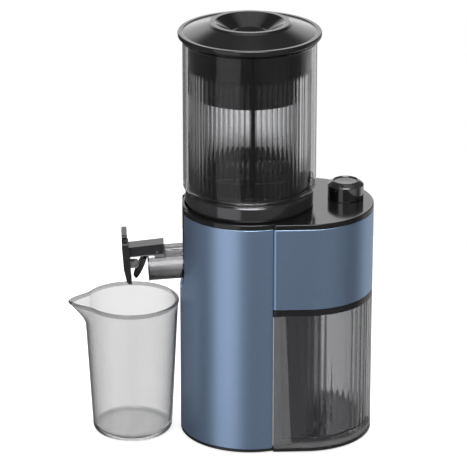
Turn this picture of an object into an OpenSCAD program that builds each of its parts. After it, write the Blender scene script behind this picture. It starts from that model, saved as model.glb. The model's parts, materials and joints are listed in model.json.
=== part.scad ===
// Cold press juicer: motor body with a drum well, juicing drum with spout and drip
// lever, strainer and auger, feed hopper with lid, pulp container and juice cup.
// The origin is the middle of the footprint on the table. Z points up, the spout
// points to -X and the pulp container slides out to +X. Sizes are in millimetres.
// Inside the modules, X is measured from the upright axis that the motor, drum and
// hopper share, and on_axis() moves it to its place.

/* [Body] */
// Distance between the centres of the body's two round ends
end_gap = 58.5; // [54:0.5:75]
// Height of the body's top face above the table
body_h = 262.5; // [258:0.5:290]
// Wall of the painted shells
shell_t = 2.6; // [2:0.1:3.2]
// Air between the drum well and the painted shell
shell_air = 3.9; // [3.4:0.1:8]
// Height of the top plate's edge
plate_t = 5.7; // [4:0.1:8]
// Where the right-hand block starts, measured from the drum axis
seam_x = 21.6; // [18:0.2:28]
// Rounding of the block's upright edges
seam_round = 3; // [1.5:0.5:3]
// Height of the pulp bay's ceiling above the table
bay_top = 159; // [154:0.5:159]
// Height of the black band above the pulp bay
band_h = 7; // [4:0.5:8]
// Thickness of the base tray
tray_t = 3; // [2.5:0.5:4]
// How far the feet stand out below the tray
foot_show = 1.5; // [1:0.5:4]
// Radius of a foot
foot_r = 8; // [6:0.5:10]
// Half width of the upright notch that the spout comes out of
notch_r = 23.5; // [20:0.5:28]

/* [Drum and spout] */
// How much wider the drum is inside than the hopper's food tube, in radius
drum_step = 0; // [0:0.5:3]
// Wall of the drum
drum_t = 2.5; // [2:0.1:2.5]
// Air between the drum and its well
drum_play = 2; // [1.5:0.1:3]
// Wall of the drum well
well_t = 2; // [1.5:0.1:2.5]
// Height of the drum well's floor above the table
well_z = 168; // [167:0.5:171]
// Thickness of the drum's floor
drum_floor_t = 4; // [3:0.5:5]
// Height of the drum's collar above the top plate
collar_h = 17.2; // [14:0.2:24]
// Height of the spout's axis where it leaves the body
spout_z = 190; // [188:0.5:200]
// Outer radius of the spout
spout_r = 13.4; // [11:0.2:14]
// Wall of the spout
spout_t = 2; // [1.5:0.1:2.6]
// Length of the spout outside the body
spout_len = 34.5; // [30:0.5:42]
// Downward slope of the spout in degrees
spout_tilt = 3.5; // [0:0.5:6]

/* [Drip lever] */
// How far the lever's hinge lies behind the spout's mouth
hinge_back = 11; // [9:0.5:13]
// Height of the hinge above the top of the spout
hinge_up = 7.6; // [7.2:0.1:10]
// Turn of the lever from shut to open in degrees
lever_open = 18; // [14:1:20]
// Turn of the stopper on the lever from shut to open in degrees
stopper_swing = 12; // [8:1:14]
// Radius of the stopper
stopper_r = 14.6; // [13:0.2:16]
// Thickness of the stopper
stopper_t = 3.6; // [3:0.2:3.8]
// Radius of the lever's hinge pin
pin_r = 1.5; // [1.2:0.1:2]
// Width of the lever's thumb plate
thumb_w = 26; // [22:1:32]

/* [Hopper and lid] */
// Inner radius of the hopper's food tube
feed_r = 62; // [60:0.5:63]
// Wall of the fluted inner tube
inner_t = 3.3; // [2.5:0.1:4]
// Gap between the inner and the outer tube, where the interlock bar runs
tube_gap = 3.3; // [3.2:0.1:5]
// Wall of the outer tube
outer_t = 2.4; // [2:0.1:3]
// Height of the hopper
hopper_h = 165; // [140:1:190]
// Number of flutes round the inner tube
flute_n = 72; // [48:4:80]
// Height of the plain band above the flutes
plain_h = 30; // [20:1:40]
// Height of the black collar inside the foot of the hopper
bowl_h = 22.5; // [18:0.5:30]
// How far the lid stands out past the hopper
lid_over = 5; // [3:0.5:7]
// Height of the lid's rim
rim_h = 6.7; // [5:0.1:8]
// Rise of the lid's crest above its rim
crest_up = 10; // [6:0.5:14]
// Radius of the lid's crest
crest_r = 39; // [32:0.5:44]
// Radius of the flat floor of the finger bowl
bowl_floor_r = 20; // [14:0.5:24]
// Length of the lid's skirt inside the hopper
skirt_h = 61; // [40:1:80]

/* [Juicing parts] */
// Outer radius of the strainer
strainer_r = 44; // [42:0.5:45]
// Wall of the strainer's frame
strainer_t = 2.4; // [2:0.1:3]
// Height of the strainer
strainer_h = 88; // [80:1:92]
// Radius of the auger's flights
flight_r = 38; // [34:0.5:39]
// Radius of the auger's core at its foot
core_r = 27; // [22:0.5:30]
// Reach of the cutting wing
wing_r = 56; // [50:0.5:57]
// Number of upright ribs on the strainer
strainer_ribs = 8; // [6:1:12]

/* [Drive] */
// Module of the gear teeth
tooth_module = 1.5; // [1.4:0.05:1.55]
// Number of teeth on the motor pinion
sun_teeth = 12; // [12:6:12]
// Number of teeth on each planet gear
planet_teeth = 18; // [18:6:18]
// Pressure angle of the teeth in degrees
pressure_angle = 25; // [22:1:28]
// Width of the gears
gear_w = 13; // [10:0.5:13.5]
// Radius of the drive shaft
shaft_r = 8; // [7:0.5:8]
// Width across flats of the drive shaft's hexagon head
hex_w = 11; // [9:0.5:12]
// Radius of the motor case
motor_r = 44; // [43:0.5:46]
// Radius of the motor shaft
motor_shaft_r = 5; // [4:0.5:5.5]

/* [Pulp container and cup] */
// Wall of the pulp container
bin_t = 2.6; // [2:0.1:3.5]
// Thickness of the pulp container's floor
bin_floor_t = 9; // [4:0.5:14]
// Spacing of the flutes on the pulp container
bin_flute = 9; // [7:0.5:12]
// Height of the cup
cup_h = 152.5; // [120:0.5:160]
// Radius of the cup's rim
cup_r = 52; // [46:0.5:56]
// Radius of the cup's wall at its foot
cup_foot_r = 43; // [36:0.5:44]
// Wall of the cup
cup_t = 2; // [1.5:0.1:3]
// Reach of the pouring lip past the rim
lip_reach = 18; // [10:0.5:24]
// Gap between the cup and the body
cup_air = 1; // [1:0.5:20]
// Offset of the cup behind the spout's axis
cup_y = 2; // [-5:0.5:5]

/* [Knob] */
// Radius of the knob
knob_r = 19.4; // [15:0.2:22]
// Height of the knob
knob_h = 19.5; // [14:0.5:26]
// Distance of the knob's axis from the right end of the body
knob_in = 29.5; // [26:0.5:34]
// Distance of the knob's axis behind the middle of the body
knob_y = 9; // [0:0.5:12]

/* [Hidden] */
$fn = 96;

// Clearances
seat = 0.2;          // between pieces that stand on each other and come apart
fit = 0.05;          // round a turning shaft
touch = 0.1;         // between pieces that are fixed together
loose = 0.4;         // round a piece that slides in or out by hand
seam_gap = 0.4;      // between the left shell and the block
cut = 1;             // how far a cut runs past the face it opens

// Plan
drum_in = feed_r + drum_step;
drum_r = drum_in + drum_t;
well_in = drum_r + drum_play;
well_out = well_in + well_t;
body_r = well_out + shell_air + shell_t;
shell_in = body_r - shell_t;
hopper_r = feed_r + inner_t + tube_gap + outer_t;
hopper_in = hopper_r - outer_t;
flutes_r = feed_r + inner_t;
lid_r = hopper_r + lid_over;
collar_w = 6.5;          // width of the collar's top ring
collar_r = drum_in + collar_w;
cup_x = -(body_r + cup_air + cup_r);
left_end = cup_x - cup_r - lip_reach;
right_end = end_gap + body_r;
drum_x = -(left_end + right_end) / 2;

// Heights
tray_top = foot_show + tray_t;
band_top = bay_top + band_h;
plate_z = body_h - plate_t;
drum_z = well_z + seat;
drum_floor_z = drum_z + drum_floor_t;
drum_top = body_h + seat + collar_h;
gasket_h = 1.2;
gasket_z = drum_top + seat;
hopper_z = gasket_z + gasket_h + seat;
hopper_top = hopper_z + hopper_h;
foot_t = 3;              // foot flange of the hopper tube
top_t = 2.6;             // top flange of the fluted tube
lid_z = hopper_top + seat;
rim_z = lid_z + rim_h;
crest_z = rim_z + crest_up;
strainer_z = drum_floor_z + seat;
strainer_top = strainer_z + strainer_h;

// Gear train, stacked down from the deck that carries it
deck_t = 4;
deck_z = bay_top - 9;
well_floor_t = 3;
mount_t = 2;
flange_t = 3;
flange_z = deck_z - mount_t - flange_t;
carrier_t = 6;
carrier_z = flange_z - 4 - 2 - carrier_t;
gear_z = carrier_z - 1.5 - gear_w;
end_plate_t = 5;
end_plate_z = gear_z - 1.5 - end_plate_t;
motor_h = 84;
motor_z = end_plate_z - motor_h;
ring_teeth = sun_teeth + 2 * planet_teeth;
orbit_r = tooth_module * (sun_teeth + planet_teeth) / 2;
ring_r = tooth_module * ring_teeth / 2 + 4.4;
flange_r = motor_r + 8;
bearing_w = 8;
bearing_r = 13;
output_bearing_r = 16;
neck_r = output_bearing_r + 3;
neck_top = well_z - well_floor_t - 2;
shaft_top = drum_floor_z + 32;
hex_z = drum_floor_z + 8;
tube_top = drum_floor_z + 14;    // top of the sleeve in the middle of the drum

// Turn of a point [x, z] about the Y axis by an angle in degrees
function tip(p, a) = [p[0] * cos(a) + p[1] * sin(a), p[1] * cos(a) - p[0] * sin(a)];

// Side view places of the spout's root, mouth, lever hinge and stopper hinge, as [x, z]
root = [-body_r, spout_z];
mouth = root + tip([-spout_len, 0], -spout_tilt);
hinge = root + tip([hinge_back - spout_len, spout_r + hinge_up], -spout_tilt);
swivel_back = 5.4;         // from the middle of the stopper to its hinge
swivel_shut = mouth + tip([-(seat + stopper_t / 2 + swivel_back), 0], -spout_tilt);
swivel = hinge + tip(swivel_shut - hinge, lever_open);
stopper_tilt = lever_open + stopper_swing - spout_tilt;

// ---- helpers ----

// Moves a piece that is drawn round the drum axis to its place
module on_axis() {
    translate([drum_x, 0, 0]) children();
}

// Upright tube
module tube(r_out, r_in, h, z = 0) {
    translate([0, 0, z]) linear_extrude(h) difference() {
        circle(r_out);
        circle(r_in);
    }
}

// Copies spread evenly round the axis
module around(n, first = 0) {
    for (k = [0:n - 1]) rotate(first + 360 * k / n) children();
}

// Plan of the right-hand block, inset by a wall
module block_plan(inset = 0) {
    r = body_r - inset;
    x = seam_x + inset;
    translate([x, seam_round - r]) square([end_gap - x, 2 * (r - seam_round)]);
    translate([x + seam_round, -r]) square([end_gap - x - seam_round, 2 * r]);
    for (side = [-1, 1]) translate([x + seam_round, side * (r - seam_round)]) circle(seam_round);
    translate([end_gap, 0]) circle(r);
}

// Plan of the whole body
module body_plan(inset = 0) {
    circle(body_r - inset);
    block_plan(inset);
}

// Everything to the right of a line across the body
module right_of(x) {
    translate([x, -2 * body_r]) square([4 * body_r, 4 * body_r]);
}

// The upright notch for the spout, seen from the left, open at the top
module notch(r) {
    translate([-body_r - cut, 0, spout_z]) rotate([0, 90, 0]) cylinder(r = r, h = body_r / 2);
    translate([-body_r - cut, -r, spout_z]) cube([body_r / 2, 2 * r, body_h - spout_z + cut]);
}

// Frame of the spout: its axis runs along -X
module on_spout() {
    translate([root[0], 0, root[1]]) rotate([0, -spout_tilt, 0]) children();
}

// Round bar across the spout, from one side to the other
module cross_bar(r, w) {
    rotate([90, 0, 0]) translate([0, 0, -w / 2]) cylinder(r = r, h = w);
}

// Side view shape, given as [x, z], made w wide across the spout
module side_shape(w) {
    rotate([90, 0, 0]) translate([0, 0, -w / 2]) linear_extrude(w) children();
}

// Point on a curve that leaves a towards b and ends at c
function bend(a, b, c, t) = (1 - t) * (1 - t) * a + 2 * t * (1 - t) * b + t * t * c;

// Angle between an involute's start and its point at radius r, in degrees
function involute(base_r, r) =
    let (roll = sqrt(max(0, r * r / (base_r * base_r) - 1))) roll * 180 / PI - atan(roll);

// Spur gear outline. tip_add and root_sub are measured from the pitch circle, and thin
// is how much a tooth is narrower than half of the pitch.
module gear_outline(teeth, tip_add, root_sub, thin) {
    pitch_r = tooth_module * teeth / 2;
    base_r = pitch_r * cos(pressure_angle);
    root_r = pitch_r - root_sub;
    tip_r = pitch_r + tip_add;
    low_r = max(base_r, root_r);
    half = 90 / teeth - thin / pitch_r * 90 / PI + involute(base_r, pitch_r);
    steps = 3;
    radii = [for (i = [0:steps]) low_r + (tip_r - low_r) * i / steps];
    flank = [for (r = radii) [r, half - involute(base_r, r)]];
    side_a = [for (p = flank) p[0] * [cos(p[1]), -sin(p[1])]];
    side_b = [for (i = [steps:-1:0]) flank[i][0] * [cos(flank[i][1]), sin(flank[i][1])]];
    foot_a = (root_r - 1) * [cos(half), -sin(half)];
    foot_b = (root_r - 1) * [cos(half), sin(half)];
    circle(root_r);
    around(teeth) polygon(concat([foot_a], side_a, side_b, [foot_b]));
}

planet_pin_r = 4;
tooth_tip = 0.9 * tooth_module;
tooth_root = 1.25 * tooth_module;
tooth_play = 0.12;

// ---- lid and hopper ----

// Lid with a domed top, a finger bowl and a hollow underside
module lid() {
    wall = 2.4;
    slope = [for (i = [0:8]) bend([crest_r + 2.5, crest_z - 0.5], [crest_r + 12, rim_z + 2],
        [lid_r - 3, rim_z], i / 8)];
    top = concat([
        [0, rim_z - 1.5],
        [bowl_floor_r, rim_z - 1.5],
        [crest_r - 2.5, crest_z - 0.8],
        [crest_r - 1, crest_z - 0.1],
        [crest_r + 1, crest_z]], slope, [
        [lid_r - 1, rim_z - 0.2],
        [lid_r, rim_z - 1.2],
        [lid_r, lid_z + 2],
        [lid_r - 1.4, lid_z + 0.4],
        [lid_r - 2.4, lid_z]]);
    under = [
        [feed_r - 6, lid_z],
        [feed_r - 8, rim_z - wall + 1.2],
        [crest_r + 4, crest_z - wall - 1.6],
        [crest_r - 1.5, crest_z - wall - 1.6],
        [bowl_floor_r + 1, rim_z - 1.5 - wall],
        [0, rim_z - 1.5 - wall]];
    color([0.08, 0.08, 0.09]) on_axis() rotate_extrude() polygon(concat(top, under));
}

// Sleeve under the lid that fills the top of the food tube
module lid_skirt() {
    wall = 2;
    color([0.1, 0.1, 0.11]) on_axis() difference() {
        tube(feed_r - 0.5, feed_r - 0.5 - wall, skirt_h, lid_z - skirt_h);
        translate([0, 0, lid_z - skirt_h - 3]) around(2)
            translate([feed_r - 6, -6, 0]) cube([12, 12, 8]);
    }
}

// Soft ring round the lid's skirt
module lid_seal() {
    color([0.2, 0.2, 0.2]) on_axis() tube(feed_r - 0.2, feed_r - 0.5, 4, hopper_top - 9);
}

// Clear outer tube with a beaded foot
module hopper_tube() {
    bead = 0.5;
    foot = [
        [flutes_r - 1.5, hopper_z],
        [hopper_r - 1, hopper_z],
        [hopper_r, hopper_z + 0.8],
        [hopper_r, hopper_z + 3],
        [hopper_r - bead, hopper_z + 3.6],
        [hopper_r - bead, hopper_z + 4.4],
        [hopper_r, hopper_z + 5],
        [hopper_r, hopper_top - top_t],
        [hopper_in, hopper_top - top_t],
        [hopper_in, hopper_z + foot_t],
        [flutes_r - 1.5, hopper_z + foot_t]];
    color([0.75, 0.76, 0.78, 0.4]) on_axis() rotate_extrude() polygon(foot);
}

// Inner food tube with flutes on its outside and a flange at the top
module hopper_flutes() {
    low = hopper_z + foot_t;
    fluted_z = low + 3;
    fluted_top = hopper_top - plain_h;
    scoop = 2.2;
    depth = 0.8;
    color([0.5, 0.5, 0.52, 0.5]) on_axis() {
        tube(flutes_r, feed_r, fluted_z - low, low);
        translate([0, 0, fluted_z]) linear_extrude(fluted_top - fluted_z) difference() {
            circle(flutes_r);
            circle(feed_r);
            around(flute_n) translate([flutes_r + scoop - depth, 0]) circle(scoop);
        }
        tube(flutes_r, feed_r, hopper_top - fluted_top, fluted_top);
        difference() {
            tube(hopper_r, feed_r, top_t, hopper_top - top_t);
            translate([-bar_w / 2 - loose, -hopper_in, hopper_top - top_t - cut])
                cube([bar_w + 2 * loose, tube_gap + 0.2, top_t + 2 * cut]);
        }
    }
}

// Black collar and floor inside the foot of the hopper
module hopper_bowl() {
    wall = 2.6;
    out = feed_r - touch;
    spigot_r = min(drum_in, feed_r) - loose;
    color([0.07, 0.07, 0.08]) on_axis() rotate_extrude() polygon([
        [strainer_r + 1.6, hopper_z + 1.5],
        [spigot_r - wall, hopper_z + 0.5],
        [spigot_r - wall, hopper_z - 7],
        [spigot_r, hopper_z - 7],
        [spigot_r, hopper_z],
        [out, hopper_z],
        [out, hopper_z + bowl_h],
        [out - wall, hopper_z + bowl_h],
        [out - wall, hopper_z + 6],
        [out - wall - 2, hopper_z + 4],
        [strainer_r + 1.6, hopper_z + 4]]);
}

// Soft ring between the drum's collar and the hopper
module hopper_gasket() {
    set_in = 1.5;
    color([0.25, 0.25, 0.26]) on_axis() tube(collar_r - set_in, drum_in + 1, gasket_h, gasket_z);
}

bar_w = 4.2;
bar_t = 2.4;
bar_y = -(flutes_r + tube_gap / 2);
bar_travel = 2.5;

// Upright bar between the tubes that the lid presses down
module interlock_bar() {
    low = hopper_z + foot_t + bar_travel + 0.5 + magnet_h;
    color([0.05, 0.05, 0.05]) on_axis()
        translate([-bar_w / 2, bar_y - bar_t / 2, low]) cube([bar_w, bar_t, hopper_top - low]);
}

magnet_h = 3;

// Magnet at the bar's foot
module interlock_magnet() {
    color("silver") on_axis()
        translate([-bar_w / 2, bar_y - bar_t / 2, hopper_z + foot_t + bar_travel + 0.5])
            cube([bar_w, bar_t, magnet_h]);
}

// ---- juicing parts ----

// Hub and two curved blades above the strainer
module cutting_wing() {
    blade_h = 10;
    blade_z = hopper_z + 4 + 2.5;
    arc_r = wing_r / 2 + 4;
    color([0.12, 0.12, 0.13]) on_axis() {
        translate([0, 0, auger_top + touch]) cylinder(r = 15, h = blade_z - auger_top - touch);
        translate([0, 0, blade_z]) cylinder(r1 = 15, r2 = 9, h = blade_h + 6);
        translate([0, 0, blade_z]) linear_extrude(blade_h) intersection() {
            circle(wing_r);
            around(2) difference() {
                translate([wing_r / 2, 0]) circle(arc_r);
                translate([wing_r / 2, -6]) circle(arc_r);
                translate([-2 * wing_r, -2 * wing_r]) square([2 * wing_r, 4 * wing_r]);
            }
        }
    }
}

basket_floor_t = 3;
basket_band = 8;         // height of the plain bands at the basket's foot and rim
auger_z = strainer_z + basket_floor_t + 0.6;
auger_top = strainer_top - 4;

// Screw that presses the fruit against the strainer
module auger() {
    h = auger_top - auger_z;
    flight_t = 5;
    color([0.16, 0.16, 0.17]) on_axis() difference() {
        union() {
            translate([0, 0, auger_z]) cylinder(r1 = core_r, r2 = core_r - 9, h = h);
            translate([0, 0, auger_z]) linear_extrude(h, twist = -400, slices = 48, segments = 1)
                around(3) translate([core_r - 12, -flight_t / 2])
                    square([flight_r - core_r + 12, flight_t], $fn = 8);
        }
        translate([0, 0, auger_z - cut]) cylinder(r = shaft_r + 6.5, h = tube_top - auger_z + cut + 1);
        translate([0, 0, tube_top]) cylinder(r = hex_w / 2 + 3.5, h = shaft_top - tube_top + 2);
    }
}

// Steel sleeve with a hexagon hole, held in the auger
module auger_socket() {
    low = tube_top + 1.2;
    h = shaft_top - low + 1.5;
    color("silver") on_axis() translate([0, 0, low]) linear_extrude(h) difference() {
        circle(hex_w / 2 + 3.5 - touch / 2);
        circle((hex_w / 2 + touch) / cos(30), $fn = 6);
    }
}

// Ribbed basket frame
module strainer_frame() {
    outlet_w = 24;
    inner = strainer_r - strainer_t;
    rib = 5;
    window_h = strainer_h - basket_floor_t - 2 * basket_band;
    color([0.1, 0.1, 0.1]) on_axis() {
        difference() {
            tube(strainer_r, shaft_r + 7.5, basket_floor_t, strainer_z);
            translate([inner - 14, -outlet_w / 2, strainer_z - cut])
                cube([10, outlet_w, basket_floor_t + 2 * cut]);
        }
        tube(strainer_r, inner, basket_band, strainer_z + basket_floor_t);
        translate([0, 0, strainer_z + basket_floor_t + basket_band]) linear_extrude(window_h) difference() {
            circle(strainer_r);
            circle(inner);
            around(strainer_ribs) rotate(180 / strainer_ribs) intersection() {
                circle(strainer_r + cut);
                polygon([
                    [0, 0],
                    2 * strainer_r * [cos(180 / strainer_ribs - rib), -sin(180 / strainer_ribs - rib)],
                    2 * strainer_r * [cos(180 / strainer_ribs - rib), sin(180 / strainer_ribs - rib)]]);
            }
        }
        tube(strainer_r, inner, basket_band, strainer_top - basket_band);
    }
}

// Slotted steel screen inside the basket frame
module strainer_screen() {
    out = strainer_r - strainer_t - touch;
    wall = 0.8;
    slots = 48;
    low = strainer_z + basket_floor_t + touch;
    slotted_h = strainer_h - 3 * basket_band;
    color("silver") on_axis() {
        tube(out, out - wall, basket_band, low);
        translate([0, 0, low + basket_band]) linear_extrude(slotted_h) difference() {
            circle(out);
            circle(out - wall);
            around(slots) translate([out - 2 * wall, -0.5]) square([3 * wall, 1]);
        }
        top_z = low + basket_band + slotted_h;
        tube(out, out - wall, strainer_top - top_z, top_z);
    }
}

// ---- drum, spout and drip lever ----

// Inside of the drum round its sleeve
module drum_inside() {
    rotate_extrude() polygon([
        [shaft_r + 4.6, drum_floor_z],
        [drum_in - 3, drum_floor_z],
        [drum_in, drum_floor_z + 3],
        [drum_in, drum_top + cut],
        [0, drum_top + cut],
        [0, tube_top],
        [shaft_r + 4.6, tube_top]]);
}

tongue_w = 10;
rail_w = 19;
rail_end = hinge_back - spout_len + 8;    // where the wide part of the lever's rail ends

// Rail on top of the spout that carries the lever's hinge
module lever_rail() {
    boss_r = 5.6;
    on_spout() {
        translate([hinge_back - spout_len, 0, spout_r + hinge_up]) cross_bar(boss_r, tongue_w);
        translate([hinge_back - spout_len - 3, -tongue_w / 2, spout_r - 1.5])
            cube([8 + spout_len - hinge_back, tongue_w, hinge_up + 1.5]);
        translate([rail_end, -rail_w / 2, spout_r - 5]) cube([2 - rail_end, rail_w, hinge_up + 9]);
    }
}

// Drum with floor, sleeve, collar, spout and pulp outlet
module drum() {
    outlet_w = 32;
    outlet_h = 26;
    root_l = body_r - drum_in + 1;
    color([0.3, 0.3, 0.32, 0.7]) on_axis() difference() {
        union() {
            rotate_extrude() polygon([
                [0, drum_z],
                [drum_r - 2, drum_z],
                [drum_r, drum_z + 2],
                [drum_r, body_h + seat],
                [collar_r - 1.5, body_h + seat],
                [collar_r, body_h + seat + 3],
                [collar_r, drum_top - 3],
                [collar_r - 1, drum_top],
                [0, drum_top]]);
            on_spout() rotate([0, -90, 0]) translate([0, 0, -root_l])
                cylinder(r = spout_r, h = spout_len + root_l);
            on_spout() translate([-spout_len, 0, 0]) rotate([0, 90, 0]) cylinder(r = spout_r + 0.5, h = 1.6);
            lever_rail();
            intersection() {
                translate([0, -outlet_w / 2 - 2, drum_floor_z - 2])
                    cube([body_r, outlet_w + 4, outlet_h + 4]);
                translate([0, 0, drum_z]) cylinder(r = well_in - 0.6, h = 60);
            }
        }
        drum_inside();
        translate([0, 0, drum_z - cut]) cylinder(r = shaft_r + 1.2, h = 60);
        on_spout() rotate([0, -90, 0]) translate([0, 0, -root_l - 2 * drum_t])
            cylinder(r = spout_r - spout_t, h = spout_len + root_l + 2 * drum_t + cut);
        translate([drum_in - 10, -outlet_w / 2, drum_floor_z]) cube([20, outlet_w, outlet_h]);
        on_spout() translate([hinge_back - spout_len, 0, spout_r + hinge_up])
            cross_bar(pin_r + fit, tongue_w + 2 * cut);
    }
}

// Lip seal inside the drum's sleeve
module drum_seal() {
    color([0.6, 0.6, 0.6]) on_axis() tube(shaft_r + 1.2, shaft_r + fit, 5, tube_top - 6);
}

// Black shield that closes the body's notch round the spout
module spout_apron() {
    r = notch_r - loose;
    out = shell_in - 0.3;
    color([0.06, 0.06, 0.06]) on_axis() difference() {
        intersection() {
            tube(out, out - 2.4, body_h - spout_z + r, spout_z - r);
            notch(r);
        }
        on_spout() rotate([0, -90, 0]) translate([0, 0, -14]) cylinder(r = spout_r + touch, h = 30);
        on_spout() translate([-14, -rail_w / 2 - touch, 0])
            cube([28, rail_w + 2 * touch, spout_r + hinge_up + 4 + touch]);
    }
}

cheek_in = tongue_w / 2 + 0.4;
cheek_t = 4;
lever_w = 2 * (cheek_in + cheek_t);
fork_in = 3.4;
fork_t = 2.4;
lug_r = 3.2;
swivel_pin_r = 1.25;

// Lever with thumb plate, forked bar and the fork that holds the stopper
module drip_lever() {
    cheek_r = 7;
    bar_end = -26;
    plate_x = -35;
    lug = swivel - hinge;
    color([0.15, 0.15, 0.16]) on_axis() translate([hinge[0], 0, hinge[1]]) difference() {
        union() {
            cross_bar(cheek_r, lever_w);
            side_shape(lever_w) polygon([
                [0, cheek_r], [0, -3.4], [-12, -4], [plate_x + 3, -7], [plate_x + 3, 8]]);
            side_shape(thumb_w) polygon([
                [plate_x - 2.2, 26], [plate_x + 2.2, 26.4], [plate_x + 3.2, 24], [plate_x + 3.4, 15],
                [plate_x + 5, 12], [plate_x + 6, -14], [plate_x + 5.6, -33], [plate_x + 7.6, -38],
                [plate_x + 6.4, -39.6], [plate_x + 2.6, -38], [plate_x - 1.4, -14], [plate_x - 2.8, 12],
                [plate_x - 2, 15], [plate_x - 3, 24]]);
            translate([lug[0], 0, lug[1]]) cross_bar(lug_r, 2 * (fork_in + fork_t));
            side_shape(2 * (fork_in + fork_t)) polygon([
                [plate_x + 4, lug[1] + lug_r], [lug[0], lug[1] + lug_r], [lug[0], lug[1] - lug_r],
                [plate_x + 4, lug[1] - lug_r - 0.6]]);
        }
        side_shape(2 * cheek_in) polygon([[8, 9], [8, -12], [-12, -12], [-12, 9]]);
        side_shape(stopper_r) polygon([[-11, -1.5], [-20, -1.5], [-20, -12], [-11, -12]]);
        side_shape(2 * fork_in) polygon([
            [lug[0] - 4.6, lug[1] + 5], [lug[0] + 6, lug[1] + 5], [lug[0] + 6, lug[1] - 5],
            [lug[0] - 4.6, lug[1] - 5]]);
        cross_bar(pin_r, lever_w + 2 * cut);
        translate([lug[0], 0, lug[1]]) cross_bar(swivel_pin_r, thumb_w);
    }
}

// Steel pin through the lever and the rail
module lever_pin() {
    color("silver") on_axis() translate([hinge[0], 0, hinge[1]]) cross_bar(pin_r, lever_w);
}

// Soft disc that shuts the spout, on a lug
module stopper() {
    color([0.1, 0.1, 0.1]) on_axis() translate([swivel[0], 0, swivel[1]]) rotate([0, stopper_tilt, 0])
        difference() {
            union() {
                translate([swivel_back - stopper_t / 2, 0, 0]) rotate([0, 90, 0]) {
                    cylinder(r1 = stopper_r - 1.6, r2 = stopper_r, h = stopper_t - 1.2);
                    translate([0, 0, stopper_t - 1.2]) cylinder(r = stopper_r, h = 1.2);
                }
                cross_bar(lug_r - 0.2, 2 * (fork_in - loose));
                translate([0, loose - fork_in, 0.2 - lug_r])
                    cube([swivel_back - 1, 2 * (fork_in - loose), 2 * (lug_r - 0.2)]);
            }
            cross_bar(swivel_pin_r + fit, thumb_w);
        }
}

// Pin that the stopper swings on
module stopper_pin() {
    color("silver") on_axis() translate([swivel[0], 0, swivel[1]])
        cross_bar(swivel_pin_r, 2 * (fork_in + fork_t));
}

// ---- body ----

knob_x = right_end - knob_in;

// Glossy top plate with the drum opening
module top_plate() {
    color([0.07, 0.07, 0.08]) on_axis() translate([0, 0, plate_z]) difference() {
        linear_extrude(plate_t) difference() {
            body_plan();
            circle(well_in);
            translate([knob_x, knob_y]) circle(5);
        }
        translate([-2 * body_r, -notch_r, -cut]) cube([2 * body_r, 2 * notch_r, plate_t + 2 * cut]);
    }
}

// Painted shell round the motor and drum well
module left_shell() {
    color([0.42, 0.53, 0.67]) on_axis() difference() {
        translate([0, 0, tray_top]) linear_extrude(plate_z - tray_top) difference() {
            circle(body_r);
            circle(shell_in);
            right_of(seam_x - seam_gap);
        }
        notch(notch_r);
        translate([-inlet_w / 2 - touch, 0, inlet_z - touch])
            cube([inlet_w + 2 * touch, 2 * body_r, inlet_h + 2 * touch]);
    }
}

// Painted panel round the upper right-hand block
module right_panel() {
    color([0.4, 0.5, 0.63]) on_axis() translate([0, 0, band_top]) linear_extrude(plate_z - band_top)
        difference() {
            block_plan();
            block_plan(shell_t);
            circle(body_r);
        }
}

post_r = 5;
thread_l = 13;           // of the tray screws
head_r = 3.8;
head_air = 0.4;
inlet_w = 22;            // width of the mains inlet, which stands by a post
post_air = 2;            // between a post and the shell
post_orbit = shell_in - post_r - post_air;
post_turn = asin((inlet_w / 2 + post_r + cut) / post_orbit);
screw_r = 2;
pulp_x = well_out + 12;
pulp_l = 24;
pulp_w = 34;
pulp_h = 34;             // height of the window from drum to duct
duct_t = 2;
duct_top = well_z + pulp_h + 2 * duct_t;

// Places of the three posts that the tray is screwed to
module at_posts() {
    for (a = [90 - post_turn, 150, 270 + post_turn]) rotate(a) translate([post_orbit, 0, 0]) children();
}

// Black frame: bay wall, band, motor deck and posts
module chassis() {
    rib_h = well_z - well_floor_t - deck_z - deck_t;
    color([0.09, 0.09, 0.1]) on_axis() difference() {
        union() {
            translate([0, 0, tray_top]) linear_extrude(bay_top - tray_top) intersection() {
                difference() {
                    circle(body_r);
                    circle(shell_in);
                }
                right_of(seam_x);
            }
            translate([0, 0, bay_top]) linear_extrude(band_h) difference() {
                intersection() {
                    block_plan(0.2);
                    right_of(seam_x + 0.2);
                }
                circle(shell_in);
            }
            translate([0, 0, deck_z]) linear_extrude(deck_t) difference() {
                union() {
                    circle(shell_in - touch);
                    intersection() {
                        circle(body_r);
                        right_of(seam_x);
                    }
                }
                circle(neck_r + 1);
            }
            at_posts() translate([0, 0, tray_top]) cylinder(r = post_r, h = deck_z - tray_top + cut);
            around(3, 45) translate([drum_r - 12, 0, deck_z]) cylinder(r = 4, h = rib_h + deck_t);
        }
        translate([pulp_x, -pulp_w / 2, bay_top - cut]) cube([pulp_l, pulp_w, band_h + 2 * cut]);
        at_posts() translate([0, 0, tray_top - cut]) cylinder(r = screw_r + fit, h = thread_l + 3 * cut);
        around(4, 45) translate([flange_r - 4, 0, deck_z - cut])
            cylinder(r = screw_r + fit, h = deck_t + 2 * cut);
    }
}

seal_r = shaft_r + 5;

// Bucket that the drum stands in
module drum_well() {
    low = well_z - well_floor_t;
    color([0.12, 0.12, 0.12]) on_axis() difference() {
        translate([0, 0, low]) cylinder(r = well_out, h = plate_z - low);
        translate([0, 0, well_z]) cylinder(r = well_in, h = plate_z);
        translate([0, 0, low - cut]) cylinder(r = seal_r, h = well_floor_t + 2 * cut);
        notch(notch_r);
        translate([well_in - 6, -pulp_w / 2, well_z]) cube([12, pulp_w, pulp_h]);
    }
}

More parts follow.
